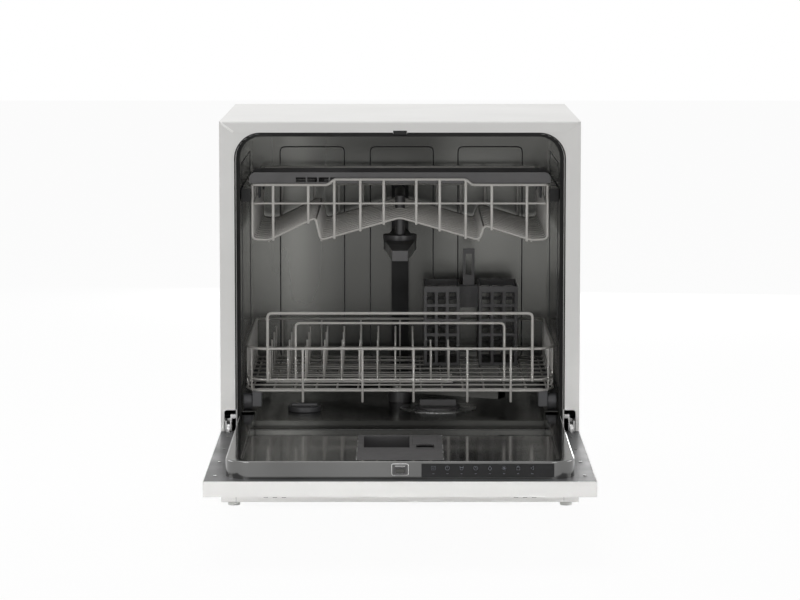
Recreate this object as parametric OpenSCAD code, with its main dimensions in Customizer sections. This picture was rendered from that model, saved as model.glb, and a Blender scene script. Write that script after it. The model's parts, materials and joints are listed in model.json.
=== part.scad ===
// Countertop dishwasher, stored with its door open flat and both racks pushed in.
// Frame: +Z up, -Y is the front. The origin is on the floor, midway between the open door's
// front edge and the water connectors at the back.

/* [Casing] */
// Overall width of the casing
body_w = 550; // [520:1:600]
// Height of the casing's top above the floor
body_h = 595; // [585:1:640]
// Depth from the front flange to the rear panel
body_d = 500; // [490:1:560]
// Thickness of the casing and door sheet
sheet = 0.8; // [0.6:0.1:1.2]
// Width of the painted front flange on each side
flange_w = 22.5; // [19:0.5:24]
// Height of the painted front flange along the top
top_flange_h = 17; // [10:0.5:20]
// Gap between the floor and the underside of the base tray
foot_h = 9; // [6:1:14]
// Diameter of each foot pad
foot_d = 19; // [14:1:24]
// Height of the plinth's top edge above the floor
plinth_top = 90; // [70:1:92]

/* [Front opening] */
// Visible strip of the inner frame between flange and gasket
frame_strip = 2; // [1.5:0.5:6]
// Radius of the opening's two top corners
corner_r = 38; // [26:1:44]
// Width of the rubber gasket band
gasket_w = 5.5; // [5:0.5:7]
// Depth of the rubber gasket
gasket_t = 9.7; // [6:0.1:12]

/* [Tub] */
// Space between the tub's back wall and the rear panel
back_space = 30; // [27:1:40]
// Depth of the pressed panels in the tub's back wall
emboss = 1.5; // [1:0.5:3]

/* [Door] */
// Height of the open door's underside above the floor
door_low = 98; // [98:1:104]
// Thickness of the door's outer panel and carrier together
door_t = 22; // [20:1:26]
// Distance of the hinge axis behind the casing's front face
hinge_in = 3; // [2.5:0.5:4]
// Gap between the closed door and the casing's front face
close_gap = 1; // [1:0.5:3]
// Gap between the closed door's top edge and the casing's top
door_top_gap = 4; // [3:1:12]
// Height of the raised stainless liner
liner_h = 25; // [22:1:28]
// Side gap between the liner and the opening
liner_gap = 4.5; // [3:0.5:8]
// Ledge between the liner and the door's front edge
door_ledge = 20; // [19:1:30]
// Width of the liner's rim along each side, which the lower rack rolls on
liner_rim_w = 23; // [22:1:26]
// Depth of the shallow recess inside the liner's rim
liner_recess = 4; // [2:0.5:6]
// Length of the door's tail that swings under the tub
door_tail = 15; // [8:1:15]
// Diameter of the hinge pins
hinge_pin_d = 8; // [6:0.5:9]
// Radial clearance of the hinge pins and axles
run_fit = 0.05; // [0.02:0.01:0.1]

/* [Controls and dispenser] */
// Number of touch icons on the control strip
icon_count = 8; // [4:1:9]
// Size of each touch icon
icon_size = 6.5; // [4:0.5:8]
// Width of the detergent and rinse aid dispenser
dispenser_w = 123; // [118:1:140]
// Length of the dispenser along the door
dispenser_l = 240; // [234:1:250]
// Length of the detergent cup along the door
cup_l = 104; // [90:1:108]
// Width of the detergent cup
cup_w = 67; // [50:1:68]
// Travel of the latch tongue
tongue_travel = 3; // [2:0.5:3]

/* [Lower rack] */
// Diameter of the main rack wires
wire_d = 4; // [3.5:0.5:4.5]
// Gap between the lower rack and the tub's back wall
lower_back_gap = 38; // [36:1:60]
// Height of the lower rack's floor above the track
lower_floor_rise = 30; // [29:1:34]
// Height of the lower rack's rim above its floor
lower_wall_h = 65; // [60:1:80]
// Side clearance between the lower rack and the tub wall
lower_side_gap = 5; // [4:0.5:8]
// Height of the outer handle loop above the rim
loop_h = 56; // [40:1:60]
// Distance between neighbouring tines
tine_pitch = 28; // [24:1:34]
// Height of the plate tines
tine_h = 58; // [40:1:62]
// Diameter of the lower rack's rollers
roller_d = 24.4; // [22:0.2:25]
// Width of the lower rack's rollers
roller_w = 14; // [8:1:15]
// Height of the cutlery baskets
basket_h = 130; // [110:1:135]

/* [Upper rack] */
// Gap between the upper rack and the tub's back wall
upper_back_gap = 42; // [40:1:60]
// Height of the upper rack's rim below the tub's ceiling
upper_rim_drop = 75.5; // [74:0.5:80]
// Side clearance between the upper rack and the tub wall
upper_side_gap = 16; // [15.5:0.5:18]
// Height of the utensil tray's walls
tray_h = 17; // [14:1:24]
// Front-to-back width of the utensil tray
tray_depth = 90; // [60:1:120]
// Height of the side rails
rail_h = 18; // [17:0.5:20]
// Gap between the side rails and the tub's back wall
rail_back_gap = 35; // [33:1:45]

/* [Spray system] */
// Gap between the tips of the spray arms and the pipe up the tub's back wall
arm_end_gap = 36; // [35:1:70]
// Width of the spray arms at the hub
arm_w = 46; // [36:1:50]
// Outer diameter of the pipe that feeds the upper spray arm
duct_d = 16; // [14:1:18]

/* [Water connections] */
// Outer diameter of the water inlet's connector
inlet_d = 26.4; // [20:0.1:28]
// Outer diameter of the drain hose spigot
drain_d = 21; // [16:0.5:24]
// Bore of the gland for the mains lead
gland_bore = 9; // [6:0.5:11]
// Distance that the connectors stand out of the rear panel
stub_l = 14; // [10:1:20]

/* [Hidden] */

// Colours
paint = [0.93, 0.93, 0.92];
steel = [0.62, 0.63, 0.62];
dark_steel = [0.36, 0.37, 0.36];
black = [0.07, 0.07, 0.07];
dark_grey = [0.27, 0.26, 0.27];
grey = [0.42, 0.42, 0.43];
wire_grey = [0.72, 0.71, 0.70];
white_plastic = [0.88, 0.88, 0.86];
blue_print = [0.55, 0.65, 0.8];
board_green = [0.1, 0.35, 0.2];

// Small clearances
eps = 0.01;
soft_gap = 0.3;

// Vertical stack
door_top_z = door_low + door_t;
hinge_z = door_top_z + hinge_in + close_gap;
track_z = door_top_z + liner_h;
sill_z = hinge_z + 2.5;
tub_floor = sill_z + gasket_w;
open_top = body_h - top_flange_h - frame_strip;
tub_top = open_top - gasket_w;

// Across
half_w = body_w / 2;
flange_x = half_w - flange_w;
open_x = flange_x - frame_strip;
tub_x = open_x - gasket_w;

// Front to back, measured from the casing's front face
door_reach = body_h - door_top_gap - hinge_z - hinge_in;
liner_face_y = hinge_in + track_z - hinge_z;
gasket_y = liner_face_y + soft_gap;
tub_y0 = gasket_y + gasket_t;
tub_y1 = body_d - back_space;
frame_t = 1.2;
frame_foot_z = door_low - 2;

// The row's origin lies midway along the whole length
front_y = (door_reach - body_d - stub_l) / 2;

// Hinge slot in the flange and the arms in it
slot_x0 = flange_x + 5.5;
slot_w = 10;
slot_z0 = hinge_z - 15;
slot_z1 = slot_z0 + 43;
cut_x = slot_x0 + slot_w + 1.5;
arm_t = 5;
arm_x0 = slot_x0 + (slot_w - arm_t) / 2;
ear_t = 2;
ear_gap = 0.2;
bracket_y1 = 40;
bracket_back = 16;
bracket_z0 = hinge_z - 12;
bracket_z1 = hinge_z + 12;
lug_rise = 9;
eye_r = hinge_pin_d / 2 + 3.5;

// Liner: a rim on three sides, a shallow recess inside it and a low floor near the hinges
liner_x = open_x - liner_gap;
liner_y0 = -(door_reach - door_ledge);
liner_y1 = -1;
liner_r = corner_r - 2;
liner_rear_r = 10;
recess_x = liner_x - liner_rim_w;
recess_y0 = liner_y0 + 14;
recess_r = liner_r - 14;
recess_z = track_z - liner_recess;

// Dispenser
disp_y0 = recess_y0 + 1;
disp_y1 = disp_y0 + dispenser_l;
disp_x = dispenser_w / 2;
disp_z = recess_z + 2;
step_y = disp_y1 + 3;
cup_x0 = -disp_x + 8.5;
cup_x1 = cup_x0 + cup_w;
cup_y1 = disp_y1 - 13;
cup_y0 = cup_y1 - cup_l;
cup_floor_z = door_top_z + sheet + 1.5;
lid_t = 2;
lid_z0 = disp_z - 5;
lid_travel = cup_l - 4;
flap_x0 = cup_x1 + 4.5;
flap_x1 = disp_x - 7;
flap_l = 74;
flap_t = 2.5;
flap_axis_y = cup_y1 - 1.8;
flap_axis_z = disp_z - 1.6;
flap_pin_d = 2.4;

// Latch
latch_x = 10.2;
latch_rise = 4.7;
latch_half = 12;
latch_z0 = door_top_z + 6;
latch_z1 = door_top_z + 21;
bezel_t = 0.6;
tongue_half = 6;
tongue_z0 = latch_z0 + 3.3;
tongue_z1 = latch_z0 + 8.7;
tongue_y0 = liner_y0 - 0.4 - tongue_travel;
tongue_l = 11;
latch_l = 13;

// Lower rack
lower_y0 = 36;
lower_y1 = tub_y1 - lower_back_gap;
lower_depth = lower_y1 - lower_y0;
lower_x = tub_x - lower_side_gap;
lower_front_x = lower_x - 20;
chamfer_l = 34;
lower_floor_z = track_z + lower_floor_rise;
lower_rim_z = lower_floor_z + lower_wall_h;
lower_mid_z = lower_floor_z + 17;
leg_drop = 17;
outer_loop_x = lower_x - 36;
inner_loop_x = lower_x - 79;
inner_loop_drop = 16;
roll_gap = soft_gap;
roller_r = roller_d / 2;
roller_z = track_z + roll_gap + roller_r;
roller_axle_d = 6;
roller_x1 = tub_x - 2;
roller_x0 = roller_x1 - roller_w;
holder_x1 = roller_x0 - 0.5;
holder_w = 14;
holder_l = 28;
front_axle_y = lower_y0 + 28;
rear_axle_y = lower_y1 - 68;
track_x0 = recess_x;

// Cutlery baskets
basket_x0 = 39;
basket_w = [58, 63];
basket_split = 31;
basket_y1 = lower_y1 - wire_d - 8;
basket_l = 110;
basket_wall = 2;
basket_z0 = lower_floor_z + wire_d + soft_gap;
basket_x1 = basket_x0 + basket_w[0];
basket_x2 = basket_x1 + basket_split;
basket_x3 = basket_x2 + basket_w[1];
handle_h = 56;

// Tine rows
tine_d = 3;
tine_x0 = 35 - lower_x;
tine_rows = [for (k = [74, 154, 254, 334]) lower_y0 + k * lower_depth / 396];
tine_end = [basket_x0 + 36, basket_x0 + 36, basket_x0 - 14, basket_x0 - 14];
function tine_n(r) = floor((tine_end[r] - tine_x0) / tine_pitch);

// Upper rack
upper_y0 = 42;
upper_y1 = tub_y1 - upper_back_gap;
upper_depth = upper_y1 - upper_y0;
upper_x = tub_x - upper_side_gap;
rim_z = tub_top - upper_rim_drop;
rim_step = 8.5;
floor_low_z = rim_z - 85;
hill_z = floor_low_z + 35;
side_hill_z = floor_low_z + 23;
hill_x = 130;
valley_x = 122;
flat_x = 202;
step_x = [103, 111];
knob = 3;
upper_floor_profile = [[-upper_x, floor_low_z], [-flat_x, floor_low_z], [-hill_x, hill_z],
    [-valley_x, floor_low_z], [0, hill_z], [valley_x, floor_low_z], [hill_x, side_hill_z],
    [flat_x, floor_low_z], [upper_x, floor_low_z]];
rail_z0 = rim_z - 6 - rail_h;
rail_z = rail_z0 + rail_h / 2;
rail_wall = 1.2;
rail_x1 = tub_x - 1.4;
rail_x0 = upper_x + 2;
rail_web_x = rail_x0 + 6;
rail_y0 = 35;
rail_l = tub_y1 - rail_back_gap - rail_y0;
glide_l = 30;
glide_y = [rail_y0 + 10, rail_y0 + rail_l - 215];
wheel_r = rail_h / 2 - rail_wall - soft_gap;
wheel_w = 4;
wheel_x0 = rail_web_x - 0.8 - wheel_w;
wheel_axle_d = 5;
upper_front_axle_y = rail_y0 + rail_l / 2;
upper_rear_axle_y = rail_y0 + rail_l - 35;
plate_l = 36;

// Spray system
riser_w = 28;
riser_t = 14;
dock_l = 3.5;
arm_y = (tub_y0 + tub_y1) / 2 - 17;
arm_reach = tub_y1 - riser_t - arm_end_gap - arm_y;
arm_thick = 13;
post_d = 16;
collar_d = 36;
lower_arm_z0 = tub_floor + 18;
duct_z = hill_z + wire_d / 2 + soft_gap + duct_d / 2;
mid_wire_z = duct_z + duct_d / 2 + wire_d / 2 + 1.2;
disc_z0 = floor_low_z - 17;
upper_arm_z1 = disc_z0 - soft_gap;
upper_arm_z0 = upper_arm_z1 - 16;
nut_z1 = upper_arm_z0 - soft_gap;
nut_z0 = nut_z1 - 12;

// Sill and bottom seal
sill_low = hinge_z - 5;
seal_h = 6;
collar_grow = 6;

// Base and works
base_in = 0.2;
base_x = half_w - sheet - base_in;
base_t = 3;
base_z = foot_h + base_t;
tub_under = tub_floor - sheet;
sump_c = [60, arm_y - 75];
sump_r = 57.5;
sump_wall = 2.5;
filter_r = 35;
salt_c = [-150, arm_y - 105];
salt_r = 20;
pump_r = 40;
pump_z = base_z + 12 + pump_r;
inlet_c = [200, base_z + 50];
drain_c = [140, base_z + 58];
gland_c = [-200, base_z + 48];
foot_x = half_w - 18;
foot_y = [30, body_d - 30];

// ---------------------------------------------------------------- helpers

// A box between two opposite corners
module block(low, high) {
    translate(low) cube(high - low);
}

// Moves a piece from the casing's front face to the row's origin
module placed() {
    translate([0, front_y, 0]) children();
}

// Extrudes an outline in X and Z from y0 to y1
module along_y(y0, y1) {
    translate([0, y1, 0]) rotate([90, 0, 0]) linear_extrude(height = y1 - y0) children();
}

// Extrudes an outline in Y and Z from x0 to x1
module along_x(x0, x1) {
    translate([x0, 0, 0]) rotate([90, 0, 90]) linear_extrude(height = x1 - x0) children();
}

// Repeats a piece on both sides
module both_sides() {
    children();
    mirror([1, 0, 0]) children();
}

function arc(c, r, a0, a1, n) = [for (i = [0:n]) c + r * [cos(a0 + (a1 - a0) * i / n),
    sin(a0 + (a1 - a0) * i / n)]];

// A rectangle whose lower and upper corners have their own radii
function rounded(x0, y0, x1, y1, r_low, r_high) = concat(
    arc([x1 - r_low, y0 + r_low], r_low, -90, 0, 6),
    arc([x1 - r_high, y1 - r_high], r_high, 0, 90, 6),
    arc([x0 + r_high, y1 - r_high], r_high, 90, 180, 6),
    arc([x0 + r_low, y0 + r_low], r_low, 180, 270, 6));

function unit(v) = v / norm(v);
function left(v) = [-v[1], v[0]];
function side_in(p, i) = left(unit(p[max(i, 1)] - p[max(i, 1) - 1]));
function side_out(p, i) = left(unit(p[min(i, len(p) - 2) + 1] - p[min(i, len(p) - 2)]));
function offset_point(p, i, w) = p[i] + w * (side_in(p, i) + side_out(p, i))
    / (1 + side_in(p, i) * side_out(p, i));

// The outline of a bent wire that follows the points p
function wire(p, d) = concat([for (i = [0:len(p) - 1]) offset_point(p, i, d / 2)],
    [for (i = [len(p) - 1:-1:0]) offset_point(p, i, -d / 2)]);

module wire2d(p, d = wire_d) {
    polygon(wire(p, d));
}

function spread(a, b, n) = [for (i = [0:n - 1]) a + (b - a) * i / (n - 1)];

// The outline of the tub or the opening, grown outwards by g from the tub's inner face
module tub_outline(g) {
    polygon(rounded(-tub_x - g, tub_floor - g, tub_x + g, tub_top + g,
        8 + g, corner_r - gasket_w + g));
}

// An upside-down U with rounded top corners, from z0 up, between two growths
module frame_outline(g0, g1, z0) {
    difference() {
        polygon(rounded(-tub_x - g1, z0, tub_x + g1, tub_top + g1, eps,
            corner_r - gasket_w + g1));
        polygon(rounded(-tub_x - g0, z0 - 1, tub_x + g0, tub_top + g0, eps,
            corner_r - gasket_w + g0));
    }
}

// ---------------------------------------------------------------- casing

module side_panels() {
    top_z = body_h - sheet;
    color(paint) placed() both_sides() {
        block([half_w - sheet, 0, foot_h], [half_w, body_d, top_z]);
        difference() {
            along_y(0, sheet) polygon([[flange_x, foot_h], [half_w - sheet / 2, foot_h],
                [half_w - sheet / 2, top_z], [half_w - sheet, top_z],
                [flange_x, body_h - top_flange_h]]);
            along_y(-1, sheet + 1) polygon(rounded(flange_x - 20, slot_z0, cut_x, slot_z1, eps, 4));
        }
    }
}

module top_cover() {
    top_z = body_h - sheet;
    color(paint) placed() {
        block([-half_w, 0, top_z], [half_w, body_d, body_h]);
        along_y(0, sheet) difference() {
            polygon([[-half_w + sheet, top_z + sheet / 2],
                [-half_w + sheet, top_z], [-flange_x, body_h - top_flange_h],
                [flange_x, body_h - top_flange_h], [half_w - sheet, top_z],
                [half_w - sheet, top_z + sheet / 2]]);
            translate([-latch_x - 0.3, open_top - 1]) square([2 * latch_x + 0.6, latch_rise + 1.3]);
        }
    }
}

module rear_panel() {
    vent_w = 60;
    color(paint) placed() difference() {
        block([-half_w + sheet, body_d - sheet, foot_h],
            [half_w - sheet, body_d, body_h - sheet]);
        for (c = [[inlet_c, inlet_d + collar_grow], [drain_c, drain_d + collar_grow],
            [gland_c, gland_bore + 8]])
            translate([c[0][0], body_d - sheet - 1, c[0][1]]) rotate([-90, 0, 0])
                cylinder(d = c[1] + 2 * soft_gap, h = sheet + 2, $fn = 48);
        for (x = [-2:2], z = [0:2])
            translate([x * (vent_w + 12), body_d, body_h - 60 - 14 * z])
                cube([vent_w, 4, 3.5], center = true);
    }
}

module front_frame() {
    color(paint) placed() {
        along_y(sheet, sheet + frame_t) difference() {
            translate([-flange_x - 2, frame_foot_z])
                square([2 * flange_x + 4, body_h - top_flange_h + 2 - frame_foot_z]);
            polygon(rounded(-open_x, frame_foot_z - 1, open_x, open_top, eps, corner_r));
            for (x = [-flange_x - 3, open_x - 1]) translate([x, frame_foot_z - 1])
                square([flange_x + 4 - open_x, slot_z1 - frame_foot_z + 1]);
            translate([-latch_x - 0.3, open_top - 1]) square([2 * latch_x + 0.6, latch_rise + 1.3]);
        }
        along_y(sheet + frame_t / 2, tub_y0) frame_outline(gasket_w, gasket_w + frame_t,
            frame_foot_z);
    }
}

module base_tray() {
    wall_h = 48;
    wall_t = 2.5;
    y0 = 6;
    y1 = body_d - sheet - base_in;
    color(grey) placed() difference() {
        block([-base_x, y0, foot_h], [base_x, y1, base_z + wall_h]);
        block([-base_x + wall_t, y0 + wall_t, base_z], [base_x - wall_t, y1 - wall_t,
            base_z + wall_h + 1]);
        for (c = [inlet_c, drain_c, gland_c])
            block([c[0] - 24, y1 - wall_t - 1, c[1] - 24], [c[0] + 24, y1 + 1, c[1] + 60]);
    }
}

module plinth() {
    x = flange_x - 0.5;
    fold = 6;
    color(paint) placed() {
        difference() {
            block([-x, 0, foot_h], [x, sheet, plinth_top]);
            for (s = [-1, 1], i = [0:2])
                translate([s * (flange_x - 60) + 14 * (i - 1), 0, foot_h + 8])
                    cube([7, 4, 2], center = true);
        }
        block([-x, sheet / 2, plinth_top - sheet], [x, fold, plinth_top]);
        block([-x, sheet / 2, foot_h], [x, fold, foot_h + sheet]);
    }
}

module feet() {
    color(white_plastic) placed() for (s = [-1, 1], y = foot_y) translate([s * foot_x, y, 0]) {
        cylinder(d = foot_d, h = foot_h / 2, $fn = 48);
        cylinder(d = foot_d - 4, h = foot_h, $fn = 48);
    }
}

// ---------------------------------------------------------------- tub

module tub_shell() {
    panel_x = [-146, 3, 150];
    panel_w = [107, 105, 107];
    track_t = 0.8;
    color(dark_steel) placed() difference() {
        union() {
            along_y(tub_y0, tub_y1 + sheet) tub_outline(sheet);
            along_y(tub_y0, tub_y0 + sheet) tub_outline(gasket_w + frame_t);
            block([-open_x + 0.2, gasket_y, tub_floor - sheet], [open_x - 0.2, tub_y0 + 1, tub_floor]);
            block([-open_x + 0.2, gasket_y, sill_low], [open_x - 0.2, gasket_y + sheet, tub_floor]);
            for (i = [0:2]) block([panel_x[i] - panel_w[i] / 2, tub_y1, tub_floor + 40],
                [panel_x[i] + panel_w[i] / 2, tub_y1 + sheet + emboss, tub_top - 45]);
        }
        difference() {
            along_y(tub_y0 - 1, tub_y1) tub_outline(0);
            both_sides() {
                block([track_x0, tub_y0 - 2, tub_floor - 1],
                    [track_x0 + track_t, tub_y1 - 10, track_z]);
                block([track_x0, tub_y0 - 2, track_z - track_t],
                    [tub_x + 1, tub_y1 - 10, track_z]);
            }
        }
        for (i = [0:2]) block([panel_x[i] - panel_w[i] / 2 + 1, tub_y1 - 1, tub_floor + 41],
            [panel_x[i] + panel_w[i] / 2 - 1, tub_y1 + emboss, tub_top - 46]);
        translate([sump_c[0], sump_c[1], tub_floor - 5])
            cylinder(r = sump_r - sump_wall, h = 10, $fn = 64);
        translate([0, arm_y, tub_floor - 5]) cylinder(d = post_d, h = 10, $fn = 48);
        translate([salt_c[0], salt_c[1], tub_floor - 5])
            cylinder(r = salt_r + 0.5, h = 10, $fn = 48);
    }
}

module door_gasket() {
    color(black) placed() along_y(gasket_y, tub_y0) frame_outline(0, gasket_w, tub_floor);
}

module air_break() {
    w = 20;
    color(white_plastic) placed()
        block([-tub_x - sheet - w, tub_y0 + 116, tub_floor + 20],
            [-tub_x - sheet, tub_y1 - 70, tub_top - 50]);
}

module sump() {
    lip = 6;
    bowl_z = base_z + 30;
    color(dark_grey) placed() difference() {
        union() {
            translate([sump_c[0], sump_c[1], bowl_z])
                cylinder(r = sump_r, h = tub_under - bowl_z, $fn = 64);
            translate([sump_c[0], sump_c[1], tub_under - 3])
                cylinder(r = sump_r + lip, h = 3, $fn = 64);
            block([-16, arm_y - 20, tub_under - 16], [16, tub_y1 - 2, tub_under]);
            block([-16, arm_y - 20, tub_under - 16], [sump_c[0] - 30, arm_y, tub_under]);
            for (s = [-1, 1]) block([sump_c[0] + s * 30 - 4, sump_c[1] - 4, base_z],
                [sump_c[0] + s * 30 + 4, sump_c[1] + 4, bowl_z + 1]);
        }
        translate([sump_c[0], sump_c[1], bowl_z + sump_wall])
            cylinder(r = sump_r - sump_wall, h = tub_floor, $fn = 64);
    }
}

module filter_plate() {
    color(steel) placed() translate([sump_c[0], sump_c[1], tub_floor]) difference() {
        cylinder(r = sump_r + 4, h = 1, $fn = 64);
        translate([0, 0, -1]) cylinder(r = filter_r + 0.5, h = 3, $fn = 64);
    }
}

module filter_cup() {
    top_z = lower_arm_z0 - 4;
    low_z = base_z + 40;
    color(dark_grey) placed() translate([sump_c[0], sump_c[1], 0]) {
        difference() {
            translate([0, 0, low_z]) cylinder(r = filter_r, h = tub_floor + 4 - low_z, $fn = 64);
            translate([0, 0, low_z + 2])
                cylinder(r = filter_r - 2, h = tub_floor - low_z, $fn = 64);
        }
        block([-filter_r + 6, -3, tub_floor + 3], [filter_r - 6, 3, top_z]);
    }
}

module salt_cap() {
    top_z = tub_floor + 12;
    color(dark_grey) placed() translate([salt_c[0], salt_c[1], 0]) {
        translate([0, 0, tub_floor + soft_gap]) cylinder(r = salt_r + 6, h = 8, $fn = 48);
        translate([0, 0, tub_floor - 14]) cylinder(r = salt_r, h = 16, $fn = 48);
        block([-salt_r, -3, tub_floor + 6], [salt_r, 3, top_z]);
    }
}

module softener_tank() {
    color(white_plastic) placed() difference() {
        block([salt_c[0] - 65, salt_c[1] - 60, base_z], [salt_c[0] + 65, salt_c[1] + 60, tub_under]);
        translate([salt_c[0], salt_c[1], tub_floor - 16]) cylinder(r = salt_r + 0.5, h = 30, $fn = 48);
    }
}

module riser_duct() {
    top_z = duct_z + 20;
    wall = 2;
    color(dark_grey) placed() difference() {
        union() {
            block([-riser_w / 2, tub_y1 - riser_t, tub_floor], [riser_w / 2, tub_y1, top_z]);
            translate([0, tub_y1 - riser_t + 1, duct_z]) rotate([90, 0, 0])
                cylinder(d = riser_w - 2, h = dock_l + 1, $fn = 48);
        }
        block([-riser_w / 2 + wall, tub_y1 - riser_t + wall, tub_floor - 1],
            [riser_w / 2 - wall, tub_y1 - wall, top_z - wall]);
        translate([0, tub_y1 - riser_t + wall + 1, duct_z]) rotate([90, 0, 0])
            cylinder(d = duct_d - 2, h = dock_l + wall + 3, $fn = 48);
    }
}

module spray_post() {
    color(dark_grey) placed() translate([0, arm_y, 0]) {
        translate([0, 0, tub_under]) cylinder(d = post_d, h = lower_arm_z0 + arm_thick + 3 - tub_under,
            $fn = 48);
        translate([0, 0, tub_floor]) cylinder(d = collar_d, h = lower_arm_z0 - soft_gap - tub_floor,
            $fn = 48);
    }
}

// A flat spray arm with a bored hub, tapered to both tips
module spray_arm(bore, thick) {
    tip_w = 24;
    difference() {
        union() {
            linear_extrude(height = thick) polygon([[-arm_w / 2, -30], [-tip_w / 2, -arm_reach],
                [tip_w / 2, -arm_reach], [arm_w / 2, -30], [arm_w / 2, 30],
                [tip_w / 2, arm_reach], [-tip_w / 2, arm_reach], [-arm_w / 2, 30]]);
            cylinder(d = arm_w + 6, h = thick, $fn = 48);
        }
        translate([0, 0, -1]) cylinder(d = bore + 2 * run_fit, h = thick + 2, $fn = 48);
        for (s = [-1, 1], i = [0:3]) translate([0, s * (60 + 34 * i), thick - 1.5])
            cylinder(d = 3.5, h = 3, $fn = 16);
    }
}

module lower_spray_arm() {
    color(steel) placed() translate([0, arm_y, lower_arm_z0]) rotate([0, 0, 60])
        spray_arm(post_d, arm_thick);
}

module upper_spray_arm() {
    color(dark_grey) placed() translate([0, arm_y, upper_arm_z0])
        spray_arm(duct_d, upper_arm_z1 - upper_arm_z0);
}

module upper_feed_duct() {
    dock_y = tub_y1 - riser_t - dock_l;
    color(dark_grey) placed() difference() {
        union() {
            translate([0, dock_y - 0.5, duct_z]) rotate([90, 0, 0])
                cylinder(d = duct_d, h = dock_y - 0.5 - arm_y, $fn = 48);
            translate([0, arm_y, nut_z0 + 2])
                cylinder(d = duct_d, h = duct_z + duct_d / 2 - nut_z0 - 2, $fn = 48);
            translate([0, arm_y, disc_z0]) cylinder(d = 54, h = 8, $fn = 48);
            translate([0, arm_y, nut_z0]) cylinder(d = 28, h = nut_z1 - nut_z0, $fn = 48);
        }
        translate([0, dock_y, duct_z]) rotate([90, 0, 0])
            cylinder(d = duct_d - 3, h = dock_y - arm_y - 20, $fn = 48);
    }
}

// ---------------------------------------------------------------- works in the base

module circulation_pump() {
    neck_l = 14;
    y0 = sump_c[1] + sump_r + neck_l;
    y1 = y0 + 130;
    color(black) placed() {
        translate([sump_c[0], y1, pump_z]) rotate([90, 0, 0])
            cylinder(r = pump_r, h = y1 - y0, $fn = 64);
        translate([sump_c[0], y0 + 1, pump_z]) rotate([90, 0, 0])
            cylinder(r = 14, h = neck_l + 0.8, $fn = 32);
        for (y = [y0 + 10, y1 - 22])
            block([sump_c[0] - 26, y, base_z], [sump_c[0] + 26, y + 12, pump_z - 24]);
    }
}

module drain_pump() {
    x0 = sump_c[0] + sump_r + 2;
    color(black) placed() {
        translate([x0, sump_c[1], base_z + 44]) rotate([0, 90, 0]) cylinder(r = 22, h = 60, $fn = 48);
        translate([x0 - 1.8, sump_c[1], base_z + 44]) rotate([0, 90, 0])
            cylinder(r = 8, h = 5, $fn = 32);
        block([x0 + 10, sump_c[1] - 12, base_z], [x0 + 50, sump_c[1] + 12, base_z + 28]);
    }
}

module inlet_valve() {
    back = body_d - sheet;
    color(white_plastic) placed() {
        block([inlet_c[0] - 22, back - 44, base_z], [inlet_c[0] + 22, back - 6, inlet_c[1] + 26]);
        translate([inlet_c[0], body_d, inlet_c[1]]) rotate([90, 0, 0])
            cylinder(d = inlet_d + collar_grow, h = 12, $fn = 64);
        translate([inlet_c[0], body_d + stub_l, inlet_c[1]]) rotate([90, 0, 0])
            cylinder(d = inlet_d, h = stub_l + 2, $fn = 64);
    }
}

module drain_outlet() {
    back = body_d - sheet;
    color(grey) placed() {
        translate([drain_c[0], back, drain_c[1]]) rotate([90, 0, 0])
            cylinder(d = drain_d + collar_grow + 8, h = 4, $fn = 48);
        translate([drain_c[0], body_d, drain_c[1]]) rotate([90, 0, 0])
            cylinder(d = drain_d + collar_grow, h = 30, $fn = 48);
        translate([drain_c[0], body_d + stub_l, drain_c[1]]) rotate([90, 0, 0])
            cylinder(d = drain_d, h = stub_l + 2, $fn = 48);
    }
}

module mains_gland() {
    back = body_d - sheet;
    color(black) placed() difference() {
        union() {
            translate([gland_c[0], back, gland_c[1]]) rotate([90, 0, 0])
                cylinder(d = gland_bore + 16, h = 4, $fn = 48);
            translate([gland_c[0], body_d + 8, gland_c[1]]) rotate([90, 0, 0])
                cylinder(d = gland_bore + 8, h = 10, $fn = 48);
        }
        translate([gland_c[0], body_d + 10, gland_c[1]]) rotate([90, 0, 0])
            cylinder(d = gland_bore, h = 20, $fn = 48);
    }
}

module casing_screws() {
    rows = [plinth_top, body_h / 2, body_h - 20];
    color(steel) placed() for (s = [-1, 1], z = rows)
        translate([s * (half_w - 12), body_d + 1.5, z]) rotate([90, 0, 0])
            cylinder(d = 7, h = 1.5, $fn = 32);
}

// ---------------------------------------------------------------- hinges and latch

module hinge_brackets() {
    color(steel) placed() both_sides() {
        for (x = [arm_x0 - ear_gap - ear_t, arm_x0 + arm_t + ear_gap])
            block([x, hinge_in - eye_r + 2, bracket_z0], [x + ear_t, bracket_y1, bracket_z1]);
        block([arm_x0 - ear_gap - ear_t, bracket_y1 - bracket_back, bracket_z0],
            [half_w - sheet, bracket_y1, bracket_z1]);
        block([arm_x0 - ear_gap - ear_t, 4, bracket_z1 - 1],
            [arm_x0 - ear_gap, bracket_y1, bracket_z1 + lug_rise]);
        block([open_x + frame_t + 0.3, 4, bracket_z1 + lug_rise - 6.5],
            [arm_x0 - ear_gap - ear_t + 1, 7, bracket_z1 + lug_rise]);
        translate([arm_x0 - ear_gap - ear_t, hinge_in, hinge_z]) rotate([0, 90, 0])
            cylinder(d = hinge_pin_d, h = arm_t + 2 * (ear_gap + ear_t), $fn = 48);
    }
}

module hinge_arms() {
    bar_l = 95;
    z0 = door_low + sheet;
    z1 = door_top_z - sheet;
    color(steel) placed() both_sides() along_x(arm_x0, arm_x0 + arm_t) difference() {
        union() {
            polygon([[-bar_l, z0], [-12, z0], [-1, slot_z0 + 1.5],
                [hinge_in + 2, hinge_z - eye_r + 1], [hinge_in - eye_r + 1, hinge_z],
                [-14, z1], [-bar_l, z1]]);
            translate([hinge_in, hinge_z]) circle(r = eye_r, $fn = 48);
        }
        translate([hinge_in, hinge_z]) circle(d = hinge_pin_d + 2 * run_fit, $fn = 48);
    }
}

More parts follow.
